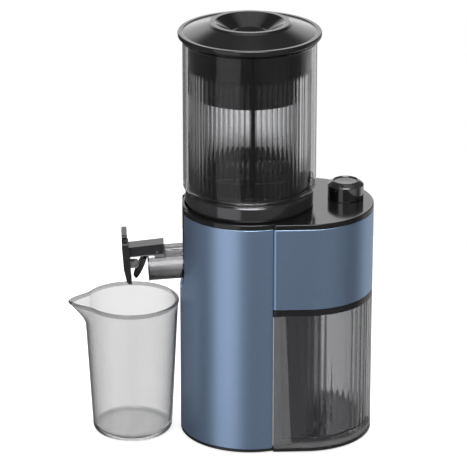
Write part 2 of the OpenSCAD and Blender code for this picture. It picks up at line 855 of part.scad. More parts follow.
// Duct that leads the pulp from the drum down into the container
module pulp_chute() {
    x = well_out + 0.3;
    len = pulp_x + pulp_l + duct_t - x;
    h = duct_top - band_top;
    sill = well_z - band_top + duct_t;
    color([0.1, 0.1, 0.1]) on_axis() translate([x, -pulp_w / 2 - duct_t, band_top]) difference() {
        cube([len, pulp_w + 2 * duct_t, h]);
        translate([-cut, duct_t, sill]) cube([len - duct_t + cut, pulp_w, h - duct_t - sill]);
        translate([pulp_x - x, duct_t, -cut]) cube([pulp_l, pulp_w, h - duct_t + cut]);
    }
}

foot_in = 8;             // from the edge of the body to a foot
foot_orbit = body_r - foot_r - foot_in;

// Places of the feet under the tray
module at_feet() {
    for (a = [120, 180, 240]) rotate(a) translate([foot_orbit, 0, 0]) children();
    for (a = [-48, 48]) translate([end_gap, 0, 0]) rotate(a) translate([foot_orbit, 0, 0]) children();
}

// Tray under the whole body, with air slots below the fan
module base_tray() {
    color([0.06, 0.06, 0.06]) on_axis() difference() {
        translate([0, 0, foot_show]) linear_extrude(tray_t) difference() {
            body_plan();
            for (i = [-3:3]) translate([i * 9 - 2, -22]) square([4, 44]);
        }
        at_feet() cylinder(r = foot_r + touch, h = foot_show + tray_t / 2);
        at_posts() cylinder(r = screw_r + fit, h = 10);
        at_posts() cylinder(r = head_r + head_air, h = foot_show + tray_t / 2);
    }
}

// Rubber feet
module feet() {
    color([0.15, 0.15, 0.15]) on_axis() at_feet() cylinder(r = foot_r, h = foot_show + tray_t / 2 - touch);
}

// Screws that hold the tray to the posts
module base_screws() {
    head_z = foot_show + 0.3;
    shank_z = foot_show + tray_t / 2 - touch;
    color("silver") on_axis() at_posts() {
        translate([0, 0, head_z]) cylinder(r = head_r, h = shank_z - head_z);
        translate([0, 0, shank_z]) cylinder(r = screw_r, h = thread_l);
    }
}

// ---- pulp container and cup ----

// Scoops along the outside of the container: round its end and along its sides
module bin_scoops() {
    scoop = 6;
    out = body_r + scoop - 0.8;
    turn = bin_flute / body_r * 180 / PI;
    for (i = [0:floor(90 / turn)]) for (side = [-1, 1])
        rotate(side * i * turn) translate([out, 0]) circle(scoop);
    first = floor(90 / turn) + 1;
    start = (first * turn - 90) * PI / 180 * body_r;
    for (d = [start:bin_flute:end_gap - seam_x - 14]) for (side = [-1, 1])
        translate([-d, side * out]) circle(scoop);
}

// Fluted container with a tapered hollow
module pulp_container() {
    low = tray_top + seat;
    h = bay_top - 2 * seat - tray_top;
    hug_r = body_r + loose;
    color([0.35, 0.35, 0.36, 0.6]) on_axis() difference() {
        translate([0, 0, low]) linear_extrude(h) difference() {
            block_plan();
            circle(hug_r);
            translate([end_gap, 0]) bin_scoops();
        }
        difference() {
            translate([0, 0, low + bin_floor_t]) linear_extrude(h) block_plan(bin_t + 0.8);
            translate([0, 0, low]) cylinder(r1 = hug_r + bin_t + 6.2, r2 = hug_r + bin_t + 2.6, h = h + cut);
        }
    }
}

// Wall of the cup, inset by a thickness, down to a given height
module cup_form(inset, low) {
    corner = 7;
    rise = (cup_r - cup_foot_r) / cup_h;
    foot = cup_foot_r - inset;
    rotate_extrude() polygon(concat(
        [[0, low]],
        [for (a = [0:15:90]) [foot + corner * (rise - 1) + corner * sin(a), low + corner * (1 - cos(a))]],
        [[cup_r - inset, cup_h + (inset > 0 ? cut : 0)], [0, cup_h + (inset > 0 ? cut : 0)]]));
    lip_h = 34;
    top = cup_h + (inset > 0 ? cut : 0);
    hull() {
        translate([-(cup_r + lip_reach - 4), 0, cup_h - 5])
            cylinder(r = 4 - inset, h = top - cup_h + 5, $fn = 32);
        translate([-cup_r / 2, 0, cup_h - lip_h]) cylinder(r = cup_r / 2 - 1 - inset, h = 1, $fn = 48);
        translate([-cup_r / 2, 0, cup_h - 1]) cylinder(r = cup_r / 2 - inset, h = top - cup_h + 1, $fn = 48);
    }
}

// Cup with a pouring lip
module juice_cup() {
    floor_t = 4;
    color([0.8, 0.8, 0.8, 0.5]) on_axis() translate([cup_x, cup_y, 0]) difference() {
        cup_form(0, 0);
        cup_form(cup_t, floor_t);
    }
}

// ---- knob and electrics ----

// Control knob with a dished top
module knob() {
    low = body_h + 0.3;
    top = low + knob_h;
    color([0.05, 0.05, 0.05]) on_axis() translate([knob_x, knob_y, 0]) difference() {
        rotate_extrude() polygon([
            [0, low + 2], [knob_r - 2.5, low + 2], [knob_r - 2.5, low], [knob_r - 0.5, low],
            [knob_r, low + 0.6], [knob_r, top - 4.6], [knob_r - 1, top - 3.4],
            [knob_r - 5, top - 0.3], [knob_r - 6.2, top],
            [knob_r - 7.2, top - 1.4], [0, top - 1.4]]);
        translate([0, 0, low - cut]) cylinder(r = 3, h = 11 + cut);
    }
}

switch_h = 16;

// Shaft between the switch and the knob
module switch_shaft() {
    low = plate_z - 0.6 * switch_h;
    color("silver") on_axis() translate([knob_x, knob_y, low]) cylinder(r = 3, h = body_h + 0.3 + 10 - low);
}

// Rotary switch under the top plate
module rotary_switch() {
    color([0.2, 0.2, 0.22]) on_axis() translate([knob_x, knob_y, plate_z - switch_h]) difference() {
        union() {
            translate([-13, -13, 0]) cube([26, 26, switch_h]);
            for (i = [-1, 1]) translate([i * 6 - 1, -2.5, -6]) cube([2, 5, 6.5]);
        }
        translate([0, 0, 0.4 * switch_h]) cylinder(r = 3 + fit, h = switch_h);
    }
}

board_l = 34;
board_w = 30;
board_t = 1.6;
board_x = well_out + 1.5;
board_y = -pulp_w / 2 - duct_t - 4 - board_w;
standoff_r = 2;
standoff_h = 4;

// Control board on stand-offs beside the pulp duct
module control_board() {
    relay = [12, 12, 9];
    driver = [8, 14, 6];
    can_r = 4.5;
    can_h = 12;
    edge = standoff_r + 1;
    top = standoff_h + board_t;
    color("darkgreen") on_axis() translate([board_x, board_y, band_top]) {
        for (x = [edge, board_l - edge]) for (y = [edge, board_w - edge])
            translate([x, y, 0]) cylinder(r = standoff_r, h = standoff_h);
        translate([0, 0, standoff_h]) cube([board_l, board_w, board_t]);
        translate([2, board_w - relay[1] - 2, top]) cube(relay);
        translate([board_l - driver[0] - 2, board_w - driver[1] - 2, top]) cube(driver);
        translate([board_l / 2, can_r + 1, top]) cylinder(r = can_r, h = can_h);
    }
}

// Sensor under the top plate that feels the interlock magnet
module hall_sensor() {
    depth = 2.4;
    color([0.1, 0.1, 0.1]) on_axis() translate([-3, -well_out - 0.5 - depth, plate_z - 5])
        cube([6, depth, 5]);
}

inlet_h = 16;
inlet_z = tray_top + 8;

// Mains inlet with two pins at the back of the shell
module power_inlet() {
    depth = 14;
    face = body_r - 1.2;
    color([0.05, 0.05, 0.05]) on_axis() {
        difference() {
            translate([-inlet_w / 2, face - depth, inlet_z]) cube([inlet_w, depth, inlet_h]);
            for (x = [-4, 4]) translate([x, face + cut, inlet_z + inlet_h / 2])
                rotate([90, 0, 0]) cylinder(r = 4.4, h = depth - 2);
            translate([-4, face - depth + 3, inlet_z + inlet_h / 2 - 4.4]) cube([8, depth, 8.8]);
        }
        for (x = [-4, 4]) translate([x, face - 3, inlet_z + inlet_h / 2])
            rotate([90, 0, 0]) cylinder(r = 1.2, h = depth - 3);
        translate([-inlet_w / 2, face - depth, tray_top]) cube([inlet_w, 4, inlet_z - tray_top]);
    }
}

// Motor capacitor standing on the tray
module capacitor() {
    can_r = 10.5;
    can_h = 58;
    can_air = 1;
    color("white") on_axis() rotate(215) translate([shell_in - can_r - can_air, 0, tray_top])
        cylinder(r = can_r, h = can_h);
}

// ---- motor ----

// Motor case with a bearing seat and air slots
module motor_case() {
    wall = 1.8;
    color("gray") on_axis() difference() {
        translate([0, 0, motor_z]) cylinder(r = motor_r, h = motor_h);
        translate([0, 0, motor_z + wall + bearing_w]) cylinder(r = motor_r - wall, h = motor_h);
        difference() {
            translate([0, 0, motor_z + wall]) cylinder(r = motor_r - wall, h = bearing_w + cut);
            translate([0, 0, motor_z]) cylinder(r = bearing_r + 3, h = 2 * bearing_w);
        }
        translate([0, 0, motor_z + wall]) cylinder(r = bearing_r + fit, h = motor_h);
        translate([0, 0, motor_z - cut]) cylinder(r = motor_shaft_r + 1, h = 10);
        around(6) translate([motor_r - 16, -5, motor_z - cut]) cube([10, 10, 2 * cut + wall]);
    }
}

// Plate between the motor and the gears, with the upper bearing seat
module end_plate() {
    color("silver") on_axis() difference() {
        union() {
            translate([0, 0, end_plate_z]) cylinder(r = motor_r, h = end_plate_t);
            translate([0, 0, end_plate_z - bearing_w]) cylinder(r = bearing_r + 3, h = bearing_w + cut);
        }
        translate([0, 0, end_plate_z - bearing_w - cut]) cylinder(r = bearing_r + fit, h = bearing_w + cut);
        translate([0, 0, end_plate_z - cut]) cylinder(r = motor_shaft_r + 1, h = end_plate_t + 2 * cut);
    }
}

core_h = 42;
core_z = motor_z + 21;
core_in = 24.5;
core_out = motor_r - 1.8 - touch;

// Laminated core with twelve slots
module stator_core() {
    color([0.45, 0.45, 0.47]) on_axis() translate([0, 0, core_z]) linear_extrude(core_h) difference() {
        circle(core_out);
        circle(core_in);
        around(12) translate([core_in + 1.5, -3.2]) square([11, 6.4]);
        around(12) translate([core_in - cut, -1]) square([4, 2]);
    }
}

// Copper windings in the slots, joined by their end turns
module windings() {
    color([0.72, 0.42, 0.2]) on_axis() {
        translate([0, 0, core_z - touch]) linear_extrude(core_h + 2 * touch)
            around(12) translate([core_in + 1.5 + touch, -3.2 + touch])
                square([11 - 2 * touch, 6.4 - 2 * touch]);
        for (z = [core_z - 9 - touch, core_z + core_h + touch])
            tube(core_in + 12.4, core_in + 1.6, 9, z);
    }
}

// Rotor with its shaft and the motor pinion
module rotor() {
    color("lightgray") on_axis() {
        translate([0, 0, core_z]) cylinder(r = core_in - 0.6, h = core_h);
        translate([0, 0, motor_z - 13]) cylinder(r = motor_shaft_r, h = gear_z - motor_z + 13);
        translate([0, 0, gear_z]) linear_extrude(gear_w)
            gear_outline(sun_teeth, tooth_tip, tooth_root, tooth_play);
    }
}

// Cooling fan on the lower end of the motor shaft
module fan() {
    fan_h = 9;
    fan_air = 3;
    blade_t = 2;
    hub_t = 4;
    low = motor_z - fan_air - fan_h;
    color([0.2, 0.2, 0.2]) on_axis() translate([0, 0, low]) linear_extrude(fan_h) difference() {
        union() {
            circle(motor_shaft_r + hub_t);
            around(9) translate([hub_t, -blade_t / 2]) rotate(12) square([motor_r - 3 * hub_t, blade_t]);
        }
        circle(motor_shaft_r);
    }
}

// Ball bearing drawn as two rings and the balls between them
module ball_bearing(r_in, r_out, w, z) {
    mid = (r_in + r_out) / 2;
    ball = (r_out - r_in) / 4;
    tube(r_in + 1.4 * ball, r_in, w, z);
    tube(r_out, r_out - 1.4 * ball, w, z);
    tube(mid + ball, mid - ball, 1.4, z + w / 2 - 0.7);
    around(8) translate([mid, 0, z + w / 2]) sphere(r = ball, $fn = 24);
}

// Bearing at the motor's foot
module lower_bearing() {
    color("silver") on_axis() ball_bearing(motor_shaft_r + fit, bearing_r, bearing_w, motor_z + 1.8);
}

// Bearing below the gears
module upper_bearing() {
    color("silver") on_axis()
        ball_bearing(motor_shaft_r + fit, bearing_r, bearing_w - touch, end_plate_z - bearing_w);
}

// ---- gearbox ----

// Housing that hangs from the deck, with the output bearing in its neck
module gearbox_housing() {
    low = end_plate_z + end_plate_t;
    top = flange_z + flange_t;
    color("silver") on_axis() difference() {
        union() {
            translate([0, 0, low]) cylinder(r = motor_r, h = top - low);
            translate([0, 0, flange_z]) cylinder(r = flange_r, h = flange_t);
            translate([0, 0, flange_z]) cylinder(r = neck_r, h = neck_top - flange_z);
        }
        translate([0, 0, low - cut]) cylinder(r = ring_r + touch, h = carrier_z + carrier_t + 2 - low + cut);
        translate([0, 0, low]) cylinder(r = shaft_r + 1.5, h = 100);
        translate([0, 0, neck_top - 12]) cylinder(r = output_bearing_r + fit, h = 20);
        around(4, 45) translate([flange_r - 4, 0, flange_z - cut]) cylinder(r = screw_r + fit, h = 10);
    }
}

// Fixed ring gear
module ring_gear() {
    low = end_plate_z + end_plate_t;
    color([0.85, 0.84, 0.78]) on_axis() translate([0, 0, low]) linear_extrude(gear_z + gear_w + 0.5 - low)
        difference() {
            circle(ring_r);
            rotate(180 / ring_teeth) gear_outline(ring_teeth, tooth_root, tooth_tip, -tooth_play);
        }
}

// One planet gear, turned so that a gap faces the pinion
module planet_gear(k) {
    color([0.9, 0.89, 0.82]) on_axis() rotate(120 * k) translate([orbit_r, 0, gear_z])
        rotate(180 / planet_teeth) linear_extrude(gear_w) difference() {
            gear_outline(planet_teeth, tooth_tip, tooth_root, tooth_play);
            circle(planet_pin_r + fit);
        }
}

module planet_gear_1() {
    planet_gear(0);
}

module planet_gear_2() {
    planet_gear(1);
}

module planet_gear_3() {
    planet_gear(2);
}

// Carrier with three pins and the drive shaft with its hexagon head
module planet_carrier() {
    color("silver") on_axis() {
        translate([0, 0, carrier_z]) cylinder(r = orbit_r + 2 * planet_pin_r, h = carrier_t);
        around(3) translate([orbit_r, 0, gear_z]) cylinder(r = planet_pin_r, h = carrier_z - gear_z + 1);
        translate([0, 0, carrier_z]) cylinder(r = shaft_r, h = hex_z - carrier_z);
        translate([0, 0, hex_z]) linear_extrude(shaft_top - hex_z) circle(hex_w / 2 / cos(30), $fn = 6);
    }
}

// Bearing in the gearbox neck
module output_bearing() {
    color("silver") on_axis()
        ball_bearing(shaft_r + fit, output_bearing_r, 10, neck_top - 12);
}

// Lip seal in the floor of the drum well
module shaft_seal() {
    color([0.3, 0.3, 0.3]) on_axis()
        tube(seal_r - touch / 2, shaft_r + fit, well_floor_t, well_z - well_floor_t);
}

// Rubber rings between the gearbox flange and the deck
module rubber_mounts() {
    color([0.15, 0.15, 0.15]) on_axis() around(4, 45) translate([flange_r - 4, 0, 0])
        tube(5, screw_r + fit, mount_t, flange_z + flange_t);
}

// Screws that hold the gearbox to the deck
module gearbox_screws() {
    color("silver") on_axis() around(4, 45) translate([flange_r - 4, 0, 0]) {
        translate([0, 0, flange_z - 3]) cylinder(r = 3.6, h = 3);
        translate([0, 0, flange_z - cut]) cylinder(r = screw_r, h = deck_z + deck_t - flange_z + cut);
    }
}

lid();
lid_skirt();
lid_seal();
hopper_tube();
hopper_flutes();
hopper_bowl();
hopper_gasket();
interlock_bar();
interlock_magnet();
cutting_wing();
auger();
auger_socket();
strainer_frame();
strainer_screen();
drum();
drum_seal();
spout_apron();
drip_lever();
lever_pin();
stopper();
stopper_pin();
top_plate();
left_shell();
right_panel();
chassis();
drum_well();
pulp_chute();
base_tray();
feet();
base_screws();
pulp_container();
knob();
switch_shaft();
rotary_switch();
control_board();
hall_sensor();
power_inlet();
capacitor();
motor_case();
end_plate();
stator_core();
windings();
rotor();
fan();
lower_bearing();
upper_bearing();
gearbox_housing();
ring_gear();
planet_gear_1();
planet_gear_2();
planet_gear_3();
planet_carrier();
output_bearing();
shaft_seal();
rubber_mounts();
gearbox_screws();
juice_cup();
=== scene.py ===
import json
from math import acos, asin, atan2, cos, degrees, pi, radians, sin, sqrt, tan
import bmesh
import bpy
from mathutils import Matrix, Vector


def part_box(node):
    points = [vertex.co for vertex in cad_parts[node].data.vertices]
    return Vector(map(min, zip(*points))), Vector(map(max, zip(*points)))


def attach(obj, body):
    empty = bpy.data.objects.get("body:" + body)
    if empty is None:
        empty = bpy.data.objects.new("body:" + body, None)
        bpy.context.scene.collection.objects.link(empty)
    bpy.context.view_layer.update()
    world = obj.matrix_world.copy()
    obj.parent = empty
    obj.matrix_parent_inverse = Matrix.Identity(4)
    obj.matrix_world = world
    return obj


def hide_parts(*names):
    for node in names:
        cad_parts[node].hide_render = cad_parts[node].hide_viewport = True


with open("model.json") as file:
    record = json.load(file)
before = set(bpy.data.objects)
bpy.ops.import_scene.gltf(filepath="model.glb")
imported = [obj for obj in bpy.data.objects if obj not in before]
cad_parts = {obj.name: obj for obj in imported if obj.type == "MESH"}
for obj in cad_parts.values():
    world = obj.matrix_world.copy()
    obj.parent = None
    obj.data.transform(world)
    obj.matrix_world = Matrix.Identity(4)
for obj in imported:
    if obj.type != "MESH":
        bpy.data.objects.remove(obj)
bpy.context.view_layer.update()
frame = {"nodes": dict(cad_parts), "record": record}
print("frame loaded:", len(frame["nodes"]), "nodes")

mm = 0.001
bodyOf = {node: body for body, nodes in frame["record"]["behaviour"]["bodies"].items() for node in nodes}


# Places that several pieces share, read from the frame; they and all shapes are in millimetres

def boxOf(node):
    low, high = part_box(node)
    return low / mm, high / mm


def lowOf(node):
    return boxOf(node)[0]


def highOf(node):
    return boxOf(node)[1]


def middleOf(node):
    return (lowOf(node) + highOf(node)) / 2


axis = middleOf("hopper_tube")  # the upright axis of motor, drum and hopper
hopperRadius = (highOf("hopper_tube").x - lowOf("hopper_tube").x) / 2
hopperFoot = lowOf("hopper_tube").z
weldDistance = 0.002
skirtAir = 0.5
feedRadius = (highOf("lid_skirt").x - lowOf("lid_skirt").x) / 2 + skirtAir
bodyRadius = axis.x - lowOf("left_shell").x
bodyEnd = highOf("right_panel").x - bodyRadius  # centre of the block's round end
seamX = lowOf("right_panel").x


# Shape helpers

def softened(corners, closed=True, steps=5):
    # corners are (x, y, rounding); each becomes an arc
    nearlyStraight = radians(89)
    mostOfSide = 0.48
    outline = []
    count = len(corners)
    for i, (x, y, rounding) in enumerate(corners):
        here = Vector((x, y))
        if rounding == 0 or (not closed and i in (0, count - 1)):
            outline.append((x, y))
            continue
        toBefore = Vector(corners[i - 1][:2]) - here
        toAfter = Vector(corners[(i + 1) % count][:2]) - here
        half = toBefore.angle(toAfter) / 2
        if half > nearlyStraight:
            outline.append((x, y))
            continue
        reach = min(rounding / tan(half), mostOfSide * toBefore.length, mostOfSide * toAfter.length)
        radius = reach * tan(half)
        inward = (toBefore.normalized() + toAfter.normalized()).normalized()
        middle = here + inward * radius / sin(half)
        first = here + toBefore.normalized() * reach - middle
        last = here + toAfter.normalized() * reach - middle
        start = atan2(first.y, first.x)
        sweep = (atan2(last.y, last.x) - start + pi) % (2 * pi) - pi
        for k in range(steps + 1):
            angle = start + sweep * k / steps
            outline.append((middle.x + radius * cos(angle), middle.y + radius * sin(angle)))
    return outline


def spread(first, last, steps):
    return [first + (last - first) * k / steps for k in range(steps + 1)]


def arc(x, y, radius, first, last, steps):
    # points on an arc, angles in degrees
    return [(x + radius * cos(radians(a)), y + radius * sin(radians(a))) for a in spread(first, last, steps)]


def smoothStep(low, high, value):
    t = min(1, max(0, (value - low) / (high - low)))
    return t * t * (3 - 2 * t)


def placed(name, data):
    made = bpy.data.objects.new(name, data)
    bpy.context.scene.collection.objects.link(made)
    return made


def meshObject(name, shape, weld=0):
    # weld is the distance in millimetres within which points become one
    vertices, faces = shape
    mesh = bpy.data.meshes.new(name)
    mesh.from_pydata([[value * mm for value in v] for v in vertices], [], faces)
    form = bmesh.new()
    form.from_mesh(mesh)
    if weld:
        bmesh.ops.remove_doubles(form, verts=form.verts, dist=weld * mm)
    bmesh.ops.recalc_face_normals(form, faces=form.faces)
    form.to_mesh(mesh)
    form.free()
    return placed(name, mesh)


def piece(name, shape, node, finish, sharp=42):
    # a piece that stands for a CAD node: it rides on the node's body, takes the given finish and hides the node
    made = meshObject(name, shape, weldDistance)
    made.data.shade_smooth()
    made.data.set_sharp_from_angle(angle=radians(sharp))
    made.data.materials.append(finishes[finish])
    evenShade(made)
    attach(made, bodyOf[node])
    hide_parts(node)
    return made


def evenShade(made):
    weighted = made.modifiers.new("evenShade", "WEIGHTED_NORMAL")
    weighted.keep_sharp = True
    weighted.weight = 60


def loft(rows, joinEnds=False, capFirst=False, capLast=False):
    # faces between rows of points that all have the same length
    count = len(rows[0])
    vertices = [p for row in rows for p in row]
    faces = []
    for i in range(len(rows) if joinEnds else len(rows) - 1):
        here = i * count
        there = (i + 1) % len(rows) * count
        for k in range(count):
            n = (k + 1) % count
            faces.append((here + k, here + n, there + n, there + k))
    if capFirst:
        faces.append(tuple(range(count - 1, -1, -1)))
    if capLast:
        faces.append(tuple(range(len(vertices) - count, len(vertices))))
    return vertices, faces


def block(rows):
    return loft(rows, capFirst=True, capLast=True)


def turned(profile, solid=False, steps=192, centre=axis):
    # a form turned on an upright axis from (radius, height) points
    rows = [[(x, y, z) for x, y in arc(centre.x, centre.y, r, 0, 360, steps)[:-1]] for r, z in profile]
    return block(rows) if solid else loft(rows, joinEnds=True)


def bevelled(made, name, width, limit=38):
    bevel = made.modifiers.new(name, "BEVEL")
    bevel.width = width * mm
    bevel.segments = 2
    bevel.limit_method = "ANGLE"
    bevel.angle_limit = radians(limit)


def softEdges(node, width):
    # rounds the edges of a CAD piece by modifiers, so its mesh stays as it is
    made = frame["nodes"][node]
    weld = made.modifiers.new("weld", "WELD")
    weld.merge_threshold = 0.005 * mm
    bevelled(made, "softEdges", width)
    evenShade(made)


# Materials

class Wire:
    # a socket of a node tree that can be used in sums
    def __init__(self, sheet, socket):
        self.sheet = sheet
        self.socket = socket

    def __add__(self, other):
        return self.sheet.maths("ADD", self, other)

    def __radd__(self, other):
        return self.sheet.maths("ADD", other, self)

    def __sub__(self, other):
        return self.sheet.maths("SUBTRACT", self, other)

    def __rsub__(self, other):
        return self.sheet.maths("SUBTRACT", other, self)

    def __mul__(self, other):
        return self.sheet.maths("MULTIPLY", self, other)

    def __rmul__(self, other):
        return self.sheet.maths("MULTIPLY", other, self)

    def __truediv__(self, other):
        return self.sheet.maths("DIVIDE", self, other)

    def __pow__(self, other):
        return self.sheet.maths("POWER", self, other)


class Sheet:
    # a node tree that is filled by one call for each node
    def __init__(self, tree):
        self.tree = tree
        self.tree.nodes.clear()

    def node(self, kind, values=None, **settings):
        made = self.tree.nodes.new(kind)
        for name, value in settings.items():
            setattr(made, name, value)
        for name, value in (values or {}).items():
            if isinstance(value, Wire):
                self.tree.links.new(value.socket, made.inputs[name])
            else:
                made.inputs[name].default_value = value
        outputs = {}
        for i, socket in enumerate(made.outputs):
            outputs[i] = Wire(self, socket)
            outputs.setdefault(socket.name, outputs[i])
        return outputs

    def maths(self, operation, first, second):
        return self.node("ShaderNodeMath", {0: first, 1: second}, operation=operation)[0]

    def place(self):
        return self.node("ShaderNodeTexCoord")["Object"]

    def spot(self):
        return self.node("ShaderNodeSeparateXYZ", {0: self.place()})

    def noise(self, scale, detail=2, stretch=(1, 1, 1)):
        where = self.node("ShaderNodeMapping", {"Vector": self.place(), "Scale": stretch})["Vector"]
        return self.node("ShaderNodeTexNoise", {"Vector": where, "Scale": scale, "Detail": detail})[0]

    def between(self, value, low, high):
        return self.node("ShaderNodeMapRange", {"Value": value, "From Min": low, "From Max": high},
                         interpolation_type="SMOOTHSTEP")[0]

    def blended(self, share, first, second):
        return self.node("ShaderNodeMix", {0: share, 6: first, 7: second}, data_type="RGBA")[2]

    def varied(self, share, colour, spread):
        return self.blended(share, shaded(colour, 1 - spread), shaded(colour, 1 + spread))

    def relief(self, height, distance, strength):
        return self.node("ShaderNodeBump", {"Height": height, "Distance": distance * mm,
                                            "Strength": strength})[0]

    def surface(self, values):
        return self.node("ShaderNodeBsdfPrincipled", values)[0]

    def mixed(self, share, first, second):
        return self.node("ShaderNodeMixShader", {0: share, 1: first, 2: second})[0]


def shaded(colour, share=1):
    return tuple(min(1, c * share) for c in colour) + (1,)


def material(name, recipe):
    made = bpy.data.materials.new(name)
    made.use_nodes = True
    sheet = Sheet(made.node_tree)
    sheet.node("ShaderNodeOutputMaterial", {"Surface": recipe(sheet)})
    return made


# Lengths in the looks are in millimetres, and scales of patterns are per metre.

def mouldedPlastic(look):
    # injection moulded plastic or rubber: slow tone changes and a fine grain
    def recipe(sheet):
        slow = sheet.noise(22, 3)
        fine = sheet.noise(look.get("grain", 900), 4)
        return sheet.surface({
            "Base Color": sheet.varied(slow, look["colour"], 0.1), "Metallic": look.get("metallic", 0.0),
            "Roughness": look["roughness"] + look["dust"] * (slow - 0.5) + 0.03 * (fine - 0.5),
            "Specular IOR Level": look.get("shine", 0.5), "Normal": sheet.relief(fine, look["depth"], 0.6)})
    return recipe


plastics = {
    "lidBlack": {"colour": (0.014, 0.014, 0.015), "roughness": 0.06, "dust": 0.03, "depth": 0.001},
    "plateBlack": {"colour": (0.010, 0.010, 0.011), "roughness": 0.13, "dust": 0.05, "depth": 0.002},
    "innerBlack": {
        "colour": (0.004, 0.004, 0.005), "roughness": 0.12, "dust": 0.05, "depth": 0.003, "shine": 0.09},
    "satinBlack": {"colour": (0.016, 0.016, 0.017), "roughness": 0.36, "dust": 0.08, "depth": 0.02},
    "leverGrey": {
        "colour": (0.026, 0.026, 0.028), "roughness": 0.3, "dust": 0.12, "depth": 0.01, "shine": 0.38},
    "rubberBlack": {
        "colour": (0.012, 0.012, 0.012), "roughness": 0.52, "dust": 0.1, "depth": 0.03, "grain": 500},
    "siliconeGrey": {"colour": (0.12, 0.12, 0.12), "roughness": 0.5, "dust": 0.1, "depth": 0.02},
    "augerGrey": {"colour": (0.026, 0.026, 0.028), "roughness": 0.4, "dust": 0.1, "depth": 0.03, "shine": 0.15},
    "nylon": {"colour": (0.62, 0.60, 0.50), "roughness": 0.4, "dust": 0.1, "depth": 0.02},
    "boardGreen": {
        "colour": (0.02, 0.13, 0.05), "roughness": 0.35, "dust": 0.1, "depth": 0.02, "grain": 1400},
    "canWhite": {"colour": (0.7, 0.7, 0.68), "roughness": 0.4, "dust": 0.1, "depth": 0.01},
    "drumGrey": {
        "colour": (0.10, 0.10, 0.104), "roughness": 0.13, "dust": 0.04, "depth": 0.003, "metallic": 0.78},
    "stemGrey": {"colour": (0.26, 0.26, 0.265), "roughness": 0.45, "dust": 0.1, "depth": 0.02},
}


def seeThrough(look):
    # clear plastic with a tint and faint flow marks from moulding; some looks add painted shade
    colour = look["colour"]

    def recipe(sheet):
        flow = sheet.noise(look.get("flow", 26), 2, (1, 1, 0.25))
        haze = sheet.noise(60, 4)
        spot = sheet.spot()
        height = spot["Z"]
        facing = sheet.node("ShaderNodeLayerWeight", {"Blend": 0.5})["Facing"]
        edge = sheet.between(facing, look.get("edgeFrom", 0.55), look.get("edgeTo", 0.97))
        tone = sheet.blended(edge, sheet.varied(flow, colour, 0.03), shaded(colour, look["edge"]))
        if "ridges" in look:  # painted shade: dark lines on the ridges between the scoops, standing in for the stripes that refraction through the flutes shows
            angle = sheet.maths("ARCTAN2", spot["Y"] - axis.y * mm, spot["X"] - axis.x * mm)
            turns = angle * (look["ridges"] / (2 * pi))
            off = sheet.maths("PINGPONG", turns, 0.5)  # 0 in the middle of a scoop, 0.5 on a ridge
            tone = sheet.blended(sheet.between(off, *look["ridge"]), tone, shaded(colour, look["paintedRidgeShade"]))
        if "thick" in look:  # heights between which the tone darkens towards the bottom: thicker plastic in the floors of the cup and the container, painted shade on the spout's underside and at the fluted tube's foot
            thick = 1 - sheet.between(height, *(mm * z for z in look["thick"]))
            tone = sheet.blended(thick, tone, shaded(colour, look["thickAndShadeTone"]))
        if "rim" in look:
            rim = sheet.between(height, *(mm * z for z in look["rim"]))
            tone = sheet.blended(rim, tone, shaded(colour, look["rimTone"]))
        rough = look["roughness"]
        clear = sheet.surface({
            "Base Color": tone, "Roughness": rough + 0.3 * rough * (haze - 0.5), "IOR": look["ior"],
            "Transmission Weight": 1.0, "Normal": sheet.relief(flow, 0.004, 0.3)})
        if "milk" not in look:
            return clear
        cloudy = sheet.node("ShaderNodeBsdfDiffuse", {"Color": sheet.varied(haze, look["milkColour"], 0.05)})[0]
        share = look["milk"]
        if "milkThick" in look:
            share = share + (look["milkThick"] - share) * thick
        if "solidTo" in look:  # where the wall is one thick block beside the body
            across = spot["X"] + look["solidLean"] * height
            solid = 1 - sheet.between(across, look["solidTo"] * mm, (look["solidTo"] + look["solidFade"]) * mm)
            share = share + (look["milkSolid"] - share) * solid
        return sheet.mixed(share, clear, cloudy)
    return recipe


clears = {
    "clearTube": {"colour": (0.93, 0.93, 0.935), "roughness": 0.01, "ior": 1.25, "edge": 0.3, "edgeFrom": 0.2},
    "smokeTube": {
        "colour": (0.86, 0.86, 0.865), "roughness": 0.015, "ior": 1.31,
        # painted shade darkens the fluted tube towards its foot
        "edge": 0.05, "edgeFrom": 0.15, "edgeTo": 0.67, "thick": (296, 334), "thickAndShadeTone": 0.14,
        # dark lines painted on the ridges stand in for the stripes that refraction through the flutes shows
        "rim": (409, 416), "rimTone": 0.06, "ridges": 72, "ridge": (0.41, 0.48), "paintedRidgeShade": 0.22},
    "smokeSpout": {
        "colour": (0.60, 0.60, 0.61), "roughness": 0.02, "ior": 1.25, "edge": 0.5, "flow": 12,
        # painted shade darkens the spout along its underside
        "thick": (181, 187), "thickAndShadeTone": 0.26},
    "smokeRail": {"colour": (0.17, 0.17, 0.174), "roughness": 0.04, "ior": 1.45, "edge": 0.5, "flow": 12},
    "smokeBin": {
        "colour": (0.56, 0.56, 0.57), "roughness": 0.06, "ior": 1.3, "edge": 0.6, "edgeFrom": 0.15,
        "edgeTo": 0.8, "thick": (9, 14), "thickAndShadeTone": 0.8, "milkColour": (0.22, 0.22, 0.225), "milk": 0.05,
        "milkThick": 0.5, "milkSolid": 0.42, "solidTo": 73.5, "solidLean": 0.045, "solidFade": 1.2},
    "cupFrost": {
        "colour": (0.82, 0.82, 0.82), "roughness": 0.07, "ior": 1.3, "edge": 0.45, "edgeFrom": 0.15,
        "thick": (4.5, 8), "thickAndShadeTone": 0.46, "rim": (147.6, 148.4), "rimTone": 0.5,
        "milkColour": (0.6, 0.6, 0.6), "milk": 0.03},
}


